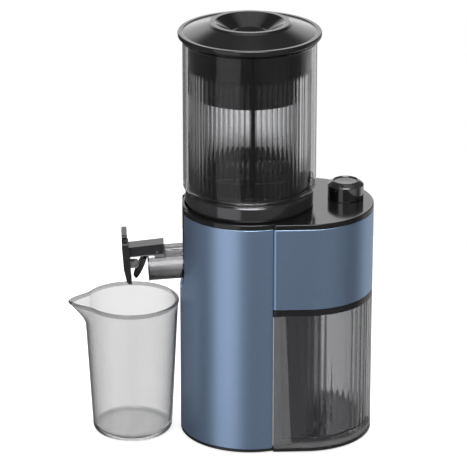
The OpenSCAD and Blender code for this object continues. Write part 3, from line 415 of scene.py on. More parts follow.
def metalPart(look):
    # drawn or turned metal: fine lines along one direction
    def recipe(sheet):
        lines = sheet.noise(look.get("lines", 700), 3, look.get("along", (1, 1, 0.05)))
        patch = sheet.noise(30, 3)
        tone = sheet.blended(lines, shaded(look["colour"], 0.88), shaded(look["colour"], 1.1))
        return sheet.surface({
            "Base Color": tone, "Metallic": 1.0,
            "Roughness": look["roughness"] + 0.1 * (lines - 0.5) + 0.06 * (patch - 0.5),
            "Normal": sheet.relief(lines, 0.006, 0.5)})
    return recipe


lyingLines = (0.05, 0.05, 1)
metals = {
    "steel": {"colour": (0.60, 0.60, 0.61), "roughness": 0.24},
    "steelRound": {"colour": (0.60, 0.60, 0.61), "roughness": 0.22, "along": lyingLines},
    "magnetDark": {"colour": (0.02, 0.02, 0.021), "roughness": 0.45},
    "ironSheets": {"colour": (0.26, 0.26, 0.27), "roughness": 0.45, "along": lyingLines, "lines": 1800},
    "copperWire": {"colour": (0.60, 0.25, 0.10), "roughness": 0.3, "along": lyingLines, "lines": 1500},
    "castAlloy": {"colour": (0.50, 0.50, 0.52), "roughness": 0.42, "along": (1, 1, 1), "lines": 500},
}

paintLook = {
    "colour": (0.345, 0.476, 0.690),
    "flakes": 2600,
    "flakeTone": 0.08,
    "roughness": 0.37,
    "metallic": 0.91,
}


def satinPaint(sheet):
    flakes = sheet.node("ShaderNodeTexVoronoi", {"Vector": sheet.place(), "Scale": paintLook["flakes"]})
    spark = sheet.node("ShaderNodeSeparateColor", {"Color": flakes["Color"]})[0]
    slow = sheet.noise(9, 2)
    orangePeel = sheet.noise(420, 2)
    return sheet.surface({
        "Base Color": sheet.varied(spark, paintLook["colour"], paintLook["flakeTone"]),
        "Metallic": paintLook["metallic"],
        "Roughness": paintLook["roughness"] + 0.05 * (slow - 0.5) + 0.03 * (spark - 0.5),
        "Coat Weight": 0.12, "Coat Roughness": 0.3, "Normal": sheet.relief(orangePeel, 0.004, 0.4)})


knobLook = {
    "side": (0.40, 0.40, 0.405),
    "black": (0.034, 0.034, 0.036),
    "top": 4.8,  # of the knob that is plain black
    "fade": 0.2,
    "roughness": 0.09,
}


def glossKnob(sheet):
    # black on top, dark bright metal round the side
    edge = (highOf("knob").z - knobLook["top"]) * mm
    fade = knobLook["fade"] * mm
    side = 1 - sheet.between(sheet.spot()["Z"], edge - fade, edge + fade)
    slow = sheet.noise(60, 3)
    fine = sheet.noise(900, 3)
    dark = sheet.varied(slow, knobLook["black"], 0.1)
    return sheet.surface({
        "Base Color": sheet.blended(side, dark, shaded(knobLook["side"])), "Metallic": side,
        "Roughness": knobLook["roughness"] + 0.04 * (slow - 0.5), "Normal": sheet.relief(fine, 0.002, 0.5)})


bayLook = {
    "grey": (0.72, 0.72, 0.725),
    "black": (0.012, 0.012, 0.013),
    "foot": 8,
    "top": 157,  # above this the frame is black
    "roughness": 0.26,
}


def bayPlastic(sheet):
    # the frame: grey in the container's bay, black in the bands that show
    height = sheet.spot()["Z"]
    foot = bayLook["foot"] * mm
    top = bayLook["top"] * mm
    inBay = sheet.between(height, foot - mm, foot) * (1 - sheet.between(height, top, top + mm))
    slow = sheet.noise(18, 3)
    fine = sheet.noise(800, 3)
    grey = sheet.varied(slow, bayLook["grey"], 0.07)
    return sheet.surface({
        "Base Color": sheet.blended(inBay, shaded(bayLook["black"]), grey),
        "Roughness": bayLook["roughness"] + 0.06 * (slow - 0.5), "Normal": sheet.relief(fine, 0.01, 0.5)})


recipes = {"bluePaint": satinPaint, "knobBlack": glossKnob, "bayGrey": bayPlastic}
for make, looks in ((mouldedPlastic, plastics), (seeThrough, clears), (metalPart, metals)):
    for name, look in looks.items():
        recipes[name] = make(look)
finishes = {name: material(name, recipe) for name, recipe in recipes.items()}

nodeFinishes = {
    "lidBlack": ["lid"],
    "innerBlack": ["lid_skirt", "hopper_bowl", "interlock_bar"],
    "plateBlack": ["top_plate"],
    "knobBlack": ["knob"],
    "clearTube": ["hopper_tube"],
    "smokeTube": ["hopper_flutes"],
    "smokeBin": ["pulp_container"],
    "drumGrey": ["drum"],
    "cupFrost": ["juice_cup"],
    "bluePaint": ["left_shell", "right_panel"],
    "leverGrey": ["drip_lever"],
    "rubberBlack": ["stopper", "feet", "rubber_mounts", "shaft_seal"],
    "siliconeGrey": ["lid_seal", "hopper_gasket", "drum_seal"],
    "augerGrey": ["auger", "cutting_wing"],
    "nylon": ["ring_gear", "planet_gear_1", "planet_gear_2", "planet_gear_3"],
    "boardGreen": ["control_board"],
    "canWhite": ["capacitor"],
    "bayGrey": ["chassis"],
    "satinBlack": ["strainer_frame", "spout_apron", "drum_well", "pulp_chute", "base_tray",
                   "rotary_switch", "hall_sensor", "power_inlet", "fan"],
    "steel": ["strainer_screen", "lever_pin", "stopper_pin", "base_screws", "gearbox_screws", "auger_socket"],
    "magnetDark": ["interlock_magnet"],
    "steelRound": ["switch_shaft", "rotor", "planet_carrier", "lower_bearing", "upper_bearing",
                   "output_bearing"],
    "ironSheets": ["stator_core"],
    "copperWire": ["windings"],
    "castAlloy": ["motor_case", "end_plate", "gearbox_housing"],
}

for finish, names in nodeFinishes.items():
    for name in names:
        node = frame["nodes"][name]
        node.data.materials.clear()
        node.data.materials.append(finishes[finish])
print("materials ready:", len(finishes))


# Lid

lidForm = {
    "crest": 39,  # radius of the ridge round the finger bowl
    "bowlFloor": 19.5,
    "bowlDepth": 11.6,
    "rimHeight": 6.7,
    "bead": 1.9,
    "ridge": 2,
    "wall": 2.4,
    "skirtWall": 2,
}


def makeLid():
    low, high = boxOf("lid")
    outer = high.x - axis.x
    rim = low.z + lidForm["rimHeight"]
    crest = lidForm["crest"]
    floor = high.z - lidForm["bowlDepth"]
    bead = lidForm["bead"]
    wall = lidForm["wall"]
    corners = [
        (0.4, floor - wall, 0), (lidForm["bowlFloor"] + 1, floor - wall, 2),
        (crest - 1.5, high.z - wall - 1.6, 2), (crest + 4, high.z - wall - 1.6, 3),
        (feedRadius - 8, rim - 1.2, 4), (feedRadius - 6, low.z, 0.4), (outer - 2.6, low.z, 0.5),
        (outer - 0.3, low.z + 2, 1.5), (outer, rim - 2.8, 0.8), (outer, rim, bead),
        (outer - 2.4 * bead, rim, 0.9), (outer - 3 * bead, rim - 0.8, 1), (crest + 6.6, high.z - 1.8, 4),
        (crest + 3, high.z, lidForm["ridge"]), (crest - 1.8, high.z, 1.6), (lidForm["bowlFloor"], floor, 1.2),
        (0.4, floor, 0)]
    shape = turned(softened(corners, closed=False, steps=6), solid=True, steps=256)
    piece("lidDome", shape, "lid", "lidBlack", 60)


def makeSkirt():
    low, high = boxOf("lid_skirt")
    outer = high.x - axis.x
    inner = outer - lidForm["skirtWall"]
    corners = [(inner, low.z, 0.6), (outer, low.z, 0.6), (outer, high.z, 0.2), (inner, high.z, 0.2)]
    piece("lidSleeve", turned(softened(corners), steps=256), "lid_skirt", "innerBlack")


makeLid()
makeSkirt()
print("lid made")


# Hopper

hopperForm = {
    "outerWall": 2.4,
    "innerWall": 3.3,
    "footPlate": 3,
    "topPlate": 2.6,
    "groove": 0.8,
    "flutes": 72,
    "fluteDepth": 1.45,
    "fluteScoop": 2.95,
    "flutePoints": 16,
    "plainTop": 30,
    "plainFoot": 3,
    "runOut": 1.2,  # length over which a scoop ends
    "gap": 0.1,  # between pieces of clear plastic that lie on each other
}
flutesRadius = feedRadius + hopperForm["innerWall"]


def makeOuterTube():
    low, high = boxOf("hopper_tube")
    outer = hopperRadius
    inner = outer - hopperForm["outerWall"]
    groove = hopperForm["groove"]
    foot = low.z + hopperForm["footPlate"]
    hole = flutesRadius - 1.5
    corners = [
        (hole, low.z, 0.3), (outer - 0.6, low.z, 0.8), (outer, low.z + 0.9, 0.7), (outer, low.z + 3, 0.8),
        (outer - groove, low.z + 3.7, 0.5), (outer - groove, low.z + 4.3, 0.5), (outer, low.z + 5, 1.2),
        (outer, high.z, 0.4), (inner, high.z, 0.4), (inner, foot, 1.2), (hole, foot, 0.3)]
    piece("hopperOuterTube", turned(softened(corners), steps=256), "hopper_tube", "clearTube")


def fluteDip(angle):
    # how deep the scoops cut at an angle round the tube
    pitch = 2 * pi / hopperForm["flutes"]
    off = ((angle / pitch + 0.5) % 1 - 0.5) * pitch * flutesRadius
    scoop = hopperForm["fluteScoop"]
    if abs(off) >= scoop:
        return 0
    return max(0, sqrt(scoop * scoop - off * off) - scoop + hopperForm["fluteDepth"])


def makeFlutedTube():
    low, high = boxOf("hopper_flutes")
    steps = hopperForm["flutes"] * hopperForm["flutePoints"]
    around = [(cos(a), sin(a), fluteDip(a)) for a in spread(0, 2 * pi, steps)[:-1]]
    gap = hopperForm["gap"]
    foot = low.z + gap
    flange = high.z - hopperForm["topPlate"] + gap
    fluteLow = foot + hopperForm["plainFoot"]
    fluteHigh = high.z - hopperForm["plainTop"]
    run = hopperForm["runOut"]
    outer = flutesRadius
    rows = [
        (feedRadius, foot + 0.3, 0), (feedRadius + 0.3, foot, 0), (outer - 0.3, foot, 0),
        (outer, foot + 0.3, 0), (outer, fluteLow, 0), (outer, fluteLow + run / 2, 0.75),
        (outer, fluteLow + run, 1), (outer, fluteHigh - run, 1), (outer, fluteHigh - run / 2, 0.75),
        (outer, fluteHigh, 0), (outer, flange - 0.5, 0), (outer + 0.5, flange, 0),
        (hopperRadius - 0.5, flange, 0), (hopperRadius, flange + 0.5, 0), (hopperRadius, high.z - 0.6, 0),
        (hopperRadius - 0.6, high.z, 0), (feedRadius + 0.6, high.z, 0), (feedRadius, high.z - 0.6, 0)]
    points = [[(axis.x + (radius - depth * dip) * x, axis.y + (radius - depth * dip) * y, z)
               for x, y, dip in around] for radius, z, depth in rows]
    piece("foodTube", loft(points, joinEnds=True), "hopper_flutes", "smokeTube", 50)


def makeBowl():
    low, high = boxOf("hopper_bowl")
    outer = feedRadius - 0.1
    wall = 2.6
    spigot = feedRadius - 0.4
    lip = 45.6
    corners = [
        (lip, hopperFoot + 1.5, 0.8), (spigot - wall, hopperFoot + 0.5, 0.5), (spigot - wall, low.z, 0.6),
        (spigot, low.z, 0.8), (spigot, hopperFoot, 0.1), (outer, hopperFoot + 0.1, 0.1), (outer, high.z, 0.6),
        (outer - wall, high.z, 0.8), (outer - wall, hopperFoot + 6, 3), (outer - wall - 2, hopperFoot + 4, 2),
        (lip, hopperFoot + 4, 0.8)]
    piece("hopperCollar", turned(softened(corners), steps=256), "hopper_bowl", "innerBlack")


makeOuterTube()
makeFlutedTube()
makeBowl()
softEdges("interlock_bar", 0.4)
print("hopper made")


# Body: top plate and painted shells

bodyForm = {
    "seamRound": 3,
    "shell": 2.6,
    "edge": 0.9,  # rounding of the shells' edges
    "plateEdge": 1.1,
    "wellRadius": 66.5,
    "notch": 23.5,  # half width of the spout's notch
    "cutReach": 30,  # of the blocks that cut the shell
    "inletAir": 0.1,
    "inletTall": 16,
    "arcPoints": 96,
}


def blockEdge(inset):
    # the block's outline from the front seam round the right end to the back seam
    r = bodyRadius - inset
    x = seamX + inset
    soft = bodyForm["seamRound"]
    steps = bodyForm["arcPoints"]
    return (arc(x + soft, -(r - soft), soft, 180, 270, 8)
            + arc(bodyEnd, 0, r, -90, 90, steps)
            + arc(x + soft, r - soft, soft, 90, 180, 8))


def plateOutline(inset):
    r = bodyRadius - inset
    hole = bodyForm["wellRadius"] + inset
    cut = bodyForm["notch"] + inset
    steps = bodyForm["arcPoints"]
    seamAngle = degrees(acos((seamX + inset - axis.x) / r))
    outerCut = degrees(asin(cut / r))
    innerCut = degrees(asin(cut / hole))
    return (blockEdge(inset)
            + arc(axis.x, 0, r, seamAngle, 180 - outerCut, steps // 2)
            + arc(axis.x, 0, hole, 180 - innerCut, innerCut - 180, 2 * steps)
            + arc(axis.x, 0, r, 180 + outerCut, 360 - seamAngle, steps // 2))


def makeTopPlate():
    low, high = boxOf("top_plate")
    edge = bodyForm["plateEdge"]
    levels = [(0.3, low.z), (0, low.z + 0.3)] + arc(edge, high.z - edge, edge, 180, 90, 5)
    rows = [[(x, y, z) for x, y in plateOutline(inset)] for inset, z in levels]
    piece("topPlate", block(rows), "top_plate", "plateBlack")


def wall(path, low, high):
    # an upright wall along a path, its outside on the right of the path, with soft edges
    thickness = bodyForm["shell"]
    edge = bodyForm["edge"]
    section = softened(
        [(0, low, edge), (0, high, edge), (thickness, high, 0.3), (thickness, low, 0.3)], steps=4)
    rows = []
    for i, (x, y) in enumerate(path):
        ahead = Vector(path[min(i + 1, len(path) - 1)])
        behind = Vector(path[max(i - 1, 0)])
        along = (ahead - behind).normalized()
        inward = Vector((-along.y, along.x))
        rows.append([(x + inward.x * s, y + inward.y * s, z) for s, z in section])
    return block(rows)


def makeRightPanel():
    low, high = boxOf("right_panel")
    stub = 1.5
    front = blockEdge(0)
    path = [(front[0][0], front[0][1] + stub)] + front + [(front[-1][0], front[-1][1] - stub)]
    piece("rightPanel", wall(path, low.z, high.z), "right_panel", "bluePaint", 60)


def carve(made, cutters):
    # cuts shapes out of a piece and keeps the result as its mesh
    for cutter in cutters:
        cut = made.modifiers.new("cut", "BOOLEAN")
        cut.operation = "DIFFERENCE"
        cut.solver = "EXACT"
        cut.object = cutter
        made.modifiers.move(len(made.modifiers) - 1, 0)
    bpy.context.view_layer.update()
    carved = bpy.data.meshes.new_from_object(made.evaluated_get(bpy.context.evaluated_depsgraph_get()))
    made.modifiers.clear()
    made.data = carved
    for cutter in cutters:
        bpy.data.objects.remove(cutter)


def makeLeftShell():
    low, high = boxOf("left_shell")
    seam = degrees(acos((highOf("left_shell").x - axis.x) / bodyRadius))
    path = arc(axis.x, 0, bodyRadius, seam, 360 - seam, 220)
    made = piece("leftShell", wall(path, low.z, high.z), "left_shell", "bluePaint", 60)
    reach = bodyForm["cutReach"]
    cut = bodyForm["notch"]
    bottom = lowOf("spout_apron").z - 0.4
    outline = arc(0, bottom + cut, cut, 180, 360, 32) + [(cut, high.z + 1), (-cut, high.z + 1)]
    left = axis.x - bodyRadius - 5
    rows = [[(x, y, z) for y, z in outline] for x in (left, left + reach)]
    notch = meshObject("notchCutter", block(rows))
    inletLow, inletHigh = boxOf("power_inlet")
    air = bodyForm["inletAir"]
    left, right = inletLow.x - air, inletHigh.x + air
    low, high = inletHigh.z - bodyForm["inletTall"] - air, inletHigh.z + air
    socket = [(left, low), (right, low), (right, high), (left, high)]
    back = [[(x, y, z) for x, z in socket] for y in (bodyRadius - reach, bodyRadius + reach)]
    carve(made, [notch, meshObject("inletCutter", block(back))])
    bevelled(made, "cutEdges", 0.5, 60)
    evenShade(made)


makeTopPlate()
makeRightPanel()
makeLeftShell()
for name, width in {"chassis": 0.3, "base_tray": 0.5, "spout_apron": 0.4}.items():
    softEdges(name, width)
print("body made")


# Pulp container

binForm = {
    "wall": 3.4,
    "floor": 9,
    "floorRound": 5,
    "cornerWall": 3,
    "hugAir": 0.4,  # round the body's bay wall
    "hugLow": 8.8,  # wall towards the bay at the floor
    "hugHigh": 5.2,  # and at the rim
    "flutePitch": 7.4,
    "fluteDepth": 0.9,
    "scoop": 4.8,
}


def binFluteDip(along):
    pitch = binForm["flutePitch"]
    off = ((along / pitch + 0.5) % 1 - 0.5) * pitch
    scoop = binForm["scoop"]
    return max(0, sqrt(scoop * scoop - off * off) - scoop + binForm["fluteDepth"])


def binLoop(inset, hug, corner, fluted):
    # the container's plan: front wall, round end, back wall and the hollow side round the bay
    r = bodyRadius - inset
    side = []
    for angle in spread(-pi / 2, 0, 72):  # round the end, from the middle of the front to its tip
        reach = r - fluted * binFluteDip(-angle * bodyRadius)
        side.append((reach * cos(angle) + bodyEnd, reach * sin(angle)))
    x0 = seamX + inset
    straight = []
    for x in spread(x0 + corner, bodyEnd, 26)[:-1]:
        along = pi / 2 * bodyRadius + (bodyEnd - x)
        ease = (0.7 * smoothStep(seamX + 8, bodyEnd - 8, x)
                + 0.3 * smoothStep(seamX + 10, seamX + 22, x))  # flutes grow away from the seam
        straight.append((x, -(r - fluted * ease * binFluteDip(along))))
    cornerArc = arc(x0 + corner, -(r - corner), corner, 180, 270, 10)[:-1]
    hugX = sqrt(max(hug * hug - (r - corner) ** 2, 0))
    if axis.x + hugX > x0:  # the bay's curve meets the wall behind the corner
        meet = axis.x + hugX
        cornerArc = [(meet + (px - x0) * (x0 + corner - meet) / corner, py) for px, py in cornerArc]
    front = cornerArc + straight + side
    back = [(x, -y) for x, y in reversed(front[:-1])]
    startAngle = degrees(atan2(back[-1][1], back[-1][0] - axis.x))
    hugArc = arc(axis.x, 0, hug, startAngle, -startAngle, 64)[1:-1]
    return front + back + hugArc


def makeContainer():
    low, high = boxOf("pulp_container")
    hug = bodyRadius + binForm["hugAir"]
    floor = low.z + binForm["floor"]
    thick = binForm["wall"]
    soft = bodyForm["seamRound"]
    inner = soft + binForm["cornerWall"]
    rounding = binForm["floorRound"]
    top = high.z - 0.6
    levels = [  # inset, distance from the bay, corner, height, depth of the flutes
        (1.2, 0.6, soft, low.z, 0.6), (0.4, 0.2, soft, low.z + 0.4, 1), (0, 0, soft, low.z + 1.2, 1),
        (0, 0, soft, high.z - 0.8, 1), (0.25, 0.1, soft, high.z - 0.2, 1), (0.8, 0.5, soft, high.z, 1),
        (thick - 0.6, binForm["hugHigh"] - 0.6, inner, high.z, 0.4)]
    walls = spread(binForm["hugHigh"], binForm["hugLow"], 10)
    levels += [(thick, away, inner, z, 0) for away, z in zip(walls, spread(top, floor + rounding, 10))]
    levels += [(thick + step, binForm["hugLow"] + step, inner, z, 0)
               for step, z in arc(rounding, floor + rounding, rounding, 180, 270, 5)[1:]]
    rows = [[(x, y, z) for x, y in binLoop(inset, hug + away, corner, fluted)]
            for inset, away, corner, z, fluted in levels]
    piece("pulpBin", block(rows), "pulp_container", "smokeBin", 50)


makeContainer()
print("container made")


# Juice cup

cupForm = {
    "wall": 2,
    "floor": 4,
    "footRadius": 43,
    "footRound": 7,
    "bead": 2.3,
    "lipReach": 18,
    "lipHeight": 27,
    "lipTurn": 183,  # where the lip points, in degrees
    "lipSpread": 29,  # half angle of the lip in degrees
    "lipCurve": 1.35,
}


def lipPush(angle, z, top):
    # how far the lip stands out of the cup's round wall
    off = abs((degrees(angle) - cupForm["lipTurn"] + 180) % 360 - 180) / cupForm["lipSpread"]
    if off >= 0.999:
        return 0
    blunt = 0.03
    pointed = ((1 - sqrt(off * off + blunt)) / (1 - sqrt(blunt)))
    pointed = max(0, pointed) ** cupForm["lipCurve"]
    rise = smoothStep(top - cupForm["lipHeight"], top + 4, z)
    return cupForm["lipReach"] * pointed * rise


def makeCup():
    low, high = boxOf("juice_cup")
    rimRadius = (high.y - low.y) / 2
    centre = Vector((high.x - rimRadius, (low.y + high.y) / 2, 0))
    foot = cupForm["footRadius"]
    top = high.z
    wallT = cupForm["wall"]
    bead = cupForm["bead"]
    flare = (rimRadius - bead * 0.4 - foot) / (top - low.z)

    def wallRadius(z):
        return foot + flare * (z - low.z)

    soft = cupForm["footRound"]
    neck = top - 2 * bead
    floor = low.z + cupForm["floor"]
    inner = soft - 0.5
    profile = (
        [(0.5, low.z)]
        + arc(wallRadius(low.z + soft) - soft, low.z + soft, soft, -90, 0, 8)
        + [(wallRadius(z), z) for z in spread(low.z + soft, neck, 21)[1:]]
        + arc(rimRadius - bead, top - bead, bead, -30, 150, 6)
        + [(wallRadius(z) - wallT, z) for z in spread(neck, floor + soft, 21)]
        + arc(wallRadius(floor + soft) - wallT - inner, floor + inner, inner, 0, -90, 8)
        + [(0.5, floor)])
    rows = []
    for radius, z in profile:
        row = []
        for angle in spread(0, 2 * pi, 192)[:-1]:
            reach = radius + (lipPush(angle, z, top) if radius > foot / 2 else 0)
            row.append((centre.x + reach * cos(angle), centre.y + reach * sin(angle), z))
        rows.append(row)
    piece("juiceCup", block(rows), "juice_cup", "cupFrost", 60)


makeCup()
print("cup made")


# Knob

knobForm = {
    "chamfer": 4.4,
    "ringIn": 6.2,  # from the side to the ridge round the dish
    "dish": 1.4,
}


def makeKnob():
    low, high = boxOf("knob")
    outer = (high.x - low.x) / 2
    middle = middleOf("knob")
    ringR = outer - knobForm["ringIn"]
    corners = [
        (0.3, low.z + 2, 0), (outer - 2.5, low.z + 2, 0), (outer - 2.5, low.z, 0), (outer, low.z, 0.5),
        (outer, high.z - knobForm["chamfer"], 0.7), (outer - 1.2, high.z - knobForm["chamfer"] + 1.1, 0.8),
        (outer - 4.6, high.z - 0.7, 1.2), (ringR, high.z, 0.5), (ringR - 1.2, high.z - knobForm["dish"], 0.4),
        (0.3, high.z - knobForm["dish"] - 0.4, 0)]
    shape = turned(softened(corners, closed=False, steps=4), solid=True, steps=128, centre=middle)
    piece("controlKnob", shape, "knob", "knobBlack", 40)


makeKnob()
print("knob made")


# Drum with spout, drip lever and stopper

spoutForm = {
    "tilt": 3.5,  # degrees down towards the mouth
    "radius": 13.4,
    "wall": 2,
    "length": 34.5,
    "root": 14,  # how far the tube runs on into the drum
    "hingeBack": 11,
    "hingeUp": 7.6,
    "mouthRing": 0.5,
    "mouthWidth": 1.6,
    "boss": 5.6,
    "tongue": 10,
    "railWidth": 9.4,
    "railGroove": 1.3,
}
hinge = middleOf("lever_pin")
swivel = middleOf("stopper_pin")
spoutTurn = radians(spoutForm["tilt"])


def onSpout(x, z, y):
    # a place measured from the spout's mouth: x along the tube towards the drum, z up, y across
    dx = x - spoutForm["hingeBack"]
    dz = z - spoutForm["radius"] - spoutForm["hingeUp"]
    return (hinge.x + dx * cos(spoutTurn) - dz * sin(spoutTurn), axis.y + y,
            hinge.z + dx * sin(spoutTurn) + dz * cos(spoutTurn))


def solidFrom(outline, width, sunk, place):
    # a side outline made wide across, its two side faces sunk inside a slanted rim
    depths = [sunk * (1 - sin(turn)) for turn in spread(0, pi / 2, 4)]
    levels = [(depth, depth - width / 2) for depth in depths]
    levels += [(depth, width / 2 - depth) for depth in reversed(depths)]
    return block([[place(*inset2d(outline, i, depth), y) for i in range(len(outline))] for depth, y in levels])


def inset2d(outline, i, distance):
    # point i of an outline moved inwards by a distance
    here = Vector(outline[i])
    before = (here - Vector(outline[i - 1])).normalized()
    after = (Vector(outline[(i + 1) % len(outline)]) - here).normalized()
    inward = Vector((-before.y - after.y, before.x + after.x))
    if inward.length < 1e-6:
        return here.x, here.y
    inward.normalize()
    area = sum(outline[k - 1][0] * y - x * outline[k - 1][1] for k, (x, y) in enumerate(outline))
    if area < 0:
        inward = -inward
    return here.x + inward.x * distance, here.y + inward.y * distance


def rings(profile, place, steps=96):
    # rings round a slanted line, from (along, radius) points
    return [[place(x, z, y) for y, z in arc(0, 0, r, 0, 360, steps)[:-1]] for x, r in profile]


def spoutTurned(profile, steps=96):
    return loft(rings(profile, onSpout, steps), joinEnds=True)


def boxBetween(low, high):
    corners = (low[0], low[1]), (high[0], low[1]), (high[0], high[1]), (low[0], high[1])
    return block([[(x, y, z) for x, y in corners] for z in (low[2], high[2])])


def makeDrum():
    low, high = boxOf("drum")
    inner = feedRadius
    outer = inner + 3.5
    collar = inner + 6.5
    seatZ = highOf("top_plate").z + 0.4
    tubeTop = highOf("drum_seal").z + 1
    floorTop = low.z + 3.5
    sleeveIn = (highOf("drum_seal").x - lowOf("drum_seal").x) / 2
    corners = [
        (sleeveIn, low.z, 0.3), (outer - 1, low.z, 2), (outer, low.z + 3, 1), (outer, seatZ, 0.2),
        (collar - 1.2, seatZ, 0.6), (collar, seatZ + 3, 1.5), (collar, high.z - 2.4, 1.5),
        (collar - 1.6, high.z, 1.2), (inner, high.z, 0.5), (inner, floorTop, 3),
        (sleeveIn + 3.2, floorTop, 1.5), (sleeveIn + 3.2, tubeTop, 0.5), (sleeveIn, tubeTop, 0.3)]
    made = piece("drumShell", turned(softened(corners)), "drum", "drumGrey")
    nearEnd, farEnd = spoutForm["length"] - 4, spoutForm["length"] + 22
    wide, thin = spoutForm["radius"] - 0.1, 0.05
    boreCutter = meshObject("boreCutter", spoutTurned(
        [(nearEnd, thin), (nearEnd, wide), (farEnd, wide), (farEnd, thin)], 64))
    outletCutter = meshObject("outletCutter", boxBetween(
        (axis.x + inner - 10, -16, floorTop), (axis.x + outer + 10, 16, floorTop + 26)))
    carve(made, [boreCutter, outletCutter])
    evenShade(made)

    radius = spoutForm["radius"]
    ringOut = radius + spoutForm["mouthRing"]
    bore = radius - spoutForm["wall"]
    end = spoutForm["length"] + spoutForm["root"]
    band = spoutForm["mouthWidth"]
    soft = 0.2
    tube = softened([(band, bore, soft), (band, radius, soft), (end, radius, soft), (end, bore, soft)])
    piece("spoutTube", spoutTurned(tube), "drum", "smokeSpout")
    mouth = softened([(0, bore, 0.5), (0, ringOut, 0.6), (band, ringOut, 0.5), (band, bore, 0.1)])
    piece("spoutMouth", spoutTurned(mouth), "drum", "drumGrey")


def makeRail():
    boss = spoutForm["boss"]
    radius = spoutForm["radius"]
    back = spoutForm["hingeBack"]
    up = radius + spoutForm["hingeUp"]
    root = spoutForm["length"]
    tongue = arc(back, up, boss, 180, 20, 20) + [
        (back + 9, up + 1.6), (back + 9, radius - 1), (back - 3, radius - 1), (back - 3, radius + 1)]
    piece("leverTongue", solidFrom(tongue, spoutForm["tongue"], 0.5, onSpout), "drum", "smokeRail")
    half = spoutForm["railWidth"] / 2
    low = radius - 1.8
    high = up + 3.8
    split = radius + 5.6  # height of the groove along the rail's sides
    deep = spoutForm["railGroove"]
    groove = [(half, split - 0.7), (half - deep, split - 0.5), (half - deep, split + 0.5), (half, split + 0.7)]
    right = [(half, low)] + groove + [(half, high)]
    section = [(-half, low)] + right + [(-y, z) for y, z in reversed(right[1:])]
    rows = [[onSpout(x, z, y) for y, z in section] for x in (back + 8, root + 4.4)]
    made = piece("leverRail", block(rows), "drum", "smokeRail")
    bevelled(made, "roundEdges", 0.6)
    made.modifiers.move(len(made.modifiers) - 1, 0)  # before the shading


leverForm = {
    "width": 18.8,
    "slot": 10.8,  # between the cheeks at the hinge
    "plateWidth": 26,
    "lugRadius": 3.2,
    "fork": 6.8,  # between the fork's arms
    "forkArm": 2.4,
    "edge": 0.9,
}


def onLever(x, z, y):
    return (hinge.x + x, axis.y + y, hinge.z + z)


leverBar = [  # side outlines of the lever's parts, from its hinge: along, up, rounding
    (7.4, 9.6, 0.6), (7.2, -2.6, 0.8), (3, -3.4, 2), (-12, -4, 0), (-32.4, -5.9, 0), (-32.4, 5.4, 0)]
thumbParts = {
    "thumbPlate": {"finish": "leverGrey", "edge": 1.3, "outline": [
        (-37, 10, 1), (-31.8, 10, 1), (-30.6, 7, 3), (-28.6, -14, 12), (-28, -30, 3), (-27.3, -35.4, 0.6),
        (-29.4, -35.6, 0.6), (-32.6, -33.6, 2), (-36, -18, 10), (-37.8, 7, 3)]},
    "thumbBlock": {"finish": "leverGrey", "edge": 0.8, "outline": [
        (-38, 17.2, 0.5), (-32.2, 17.2, 0.5), (-31.8, 10.2, 0.6), (-37.6, 10.2, 0.6)]},
    "thumbWaist": {"finish": "plateBlack", "narrower": 3, "edge": 0.4, "outline": [
        (-37.2, 19.6, 0), (-32.9, 19.6, 0), (-32.6, 8.8, 0), (-36.6, 8.8, 0)]},
    "thumbCap": {"finish": "satinBlack", "edge": 0.8, "outline": [
        (-37.7, 21.5, 0.8), (-32.4, 21.6, 0.9), (-32.3, 19.2, 0.5), (-37.9, 19.2, 0.5)]},
}


def makeLever():
    shape = solidFrom(softened(leverBar), leverForm["width"], leverForm["edge"], onLever)
    made = piece("leverBar", shape, "drip_lever", "leverGrey", 50)
    slot = leverForm["slot"] / 2
    carve(made, [
        meshObject("slotCutter", boxBetween(onLever(-12, -12, -slot), onLever(9, 6.1, slot))),
        meshObject("pocketCutter", boxBetween(onLever(-20, -12, -7.3), onLever(-11, -1.5, 7.3)))])
    evenShade(made)

    for name, part in thumbParts.items():
        wide = leverForm["plateWidth"] - part.get("narrower", 0)
        shape = solidFrom(softened(part["outline"]), wide, part["edge"], onLever)
        piece(name, shape, "drip_lever", part["finish"], 60)

    lug = swivel - hinge
    arm = leverForm["forkArm"]
    reach = leverForm["lugRadius"]
    for side in (-1, 1):
        middle = side * (leverForm["fork"] + arm) / 2
        outline = arc(lug.x, lug.z, reach, -90, 90, 16) + [(-31, lug.z + reach), (-31, lug.z - reach - 0.6)]
        shape = solidFrom(outline, arm, 0.4, lambda x, z, y, m=middle: onLever(x, z, y + m))
        piece("leverFork" + ("Front" if side < 0 else "Back"), shape, "drip_lever", "stemGrey")


stopperForm = {
    "radius": 14.6,
    "thickness": 3.6,
    "reach": 5.4,  # from its hinge to the disc's middle
    "tilt": 26.5,
    "lug": 3,
    "neckWidth": 6,
}


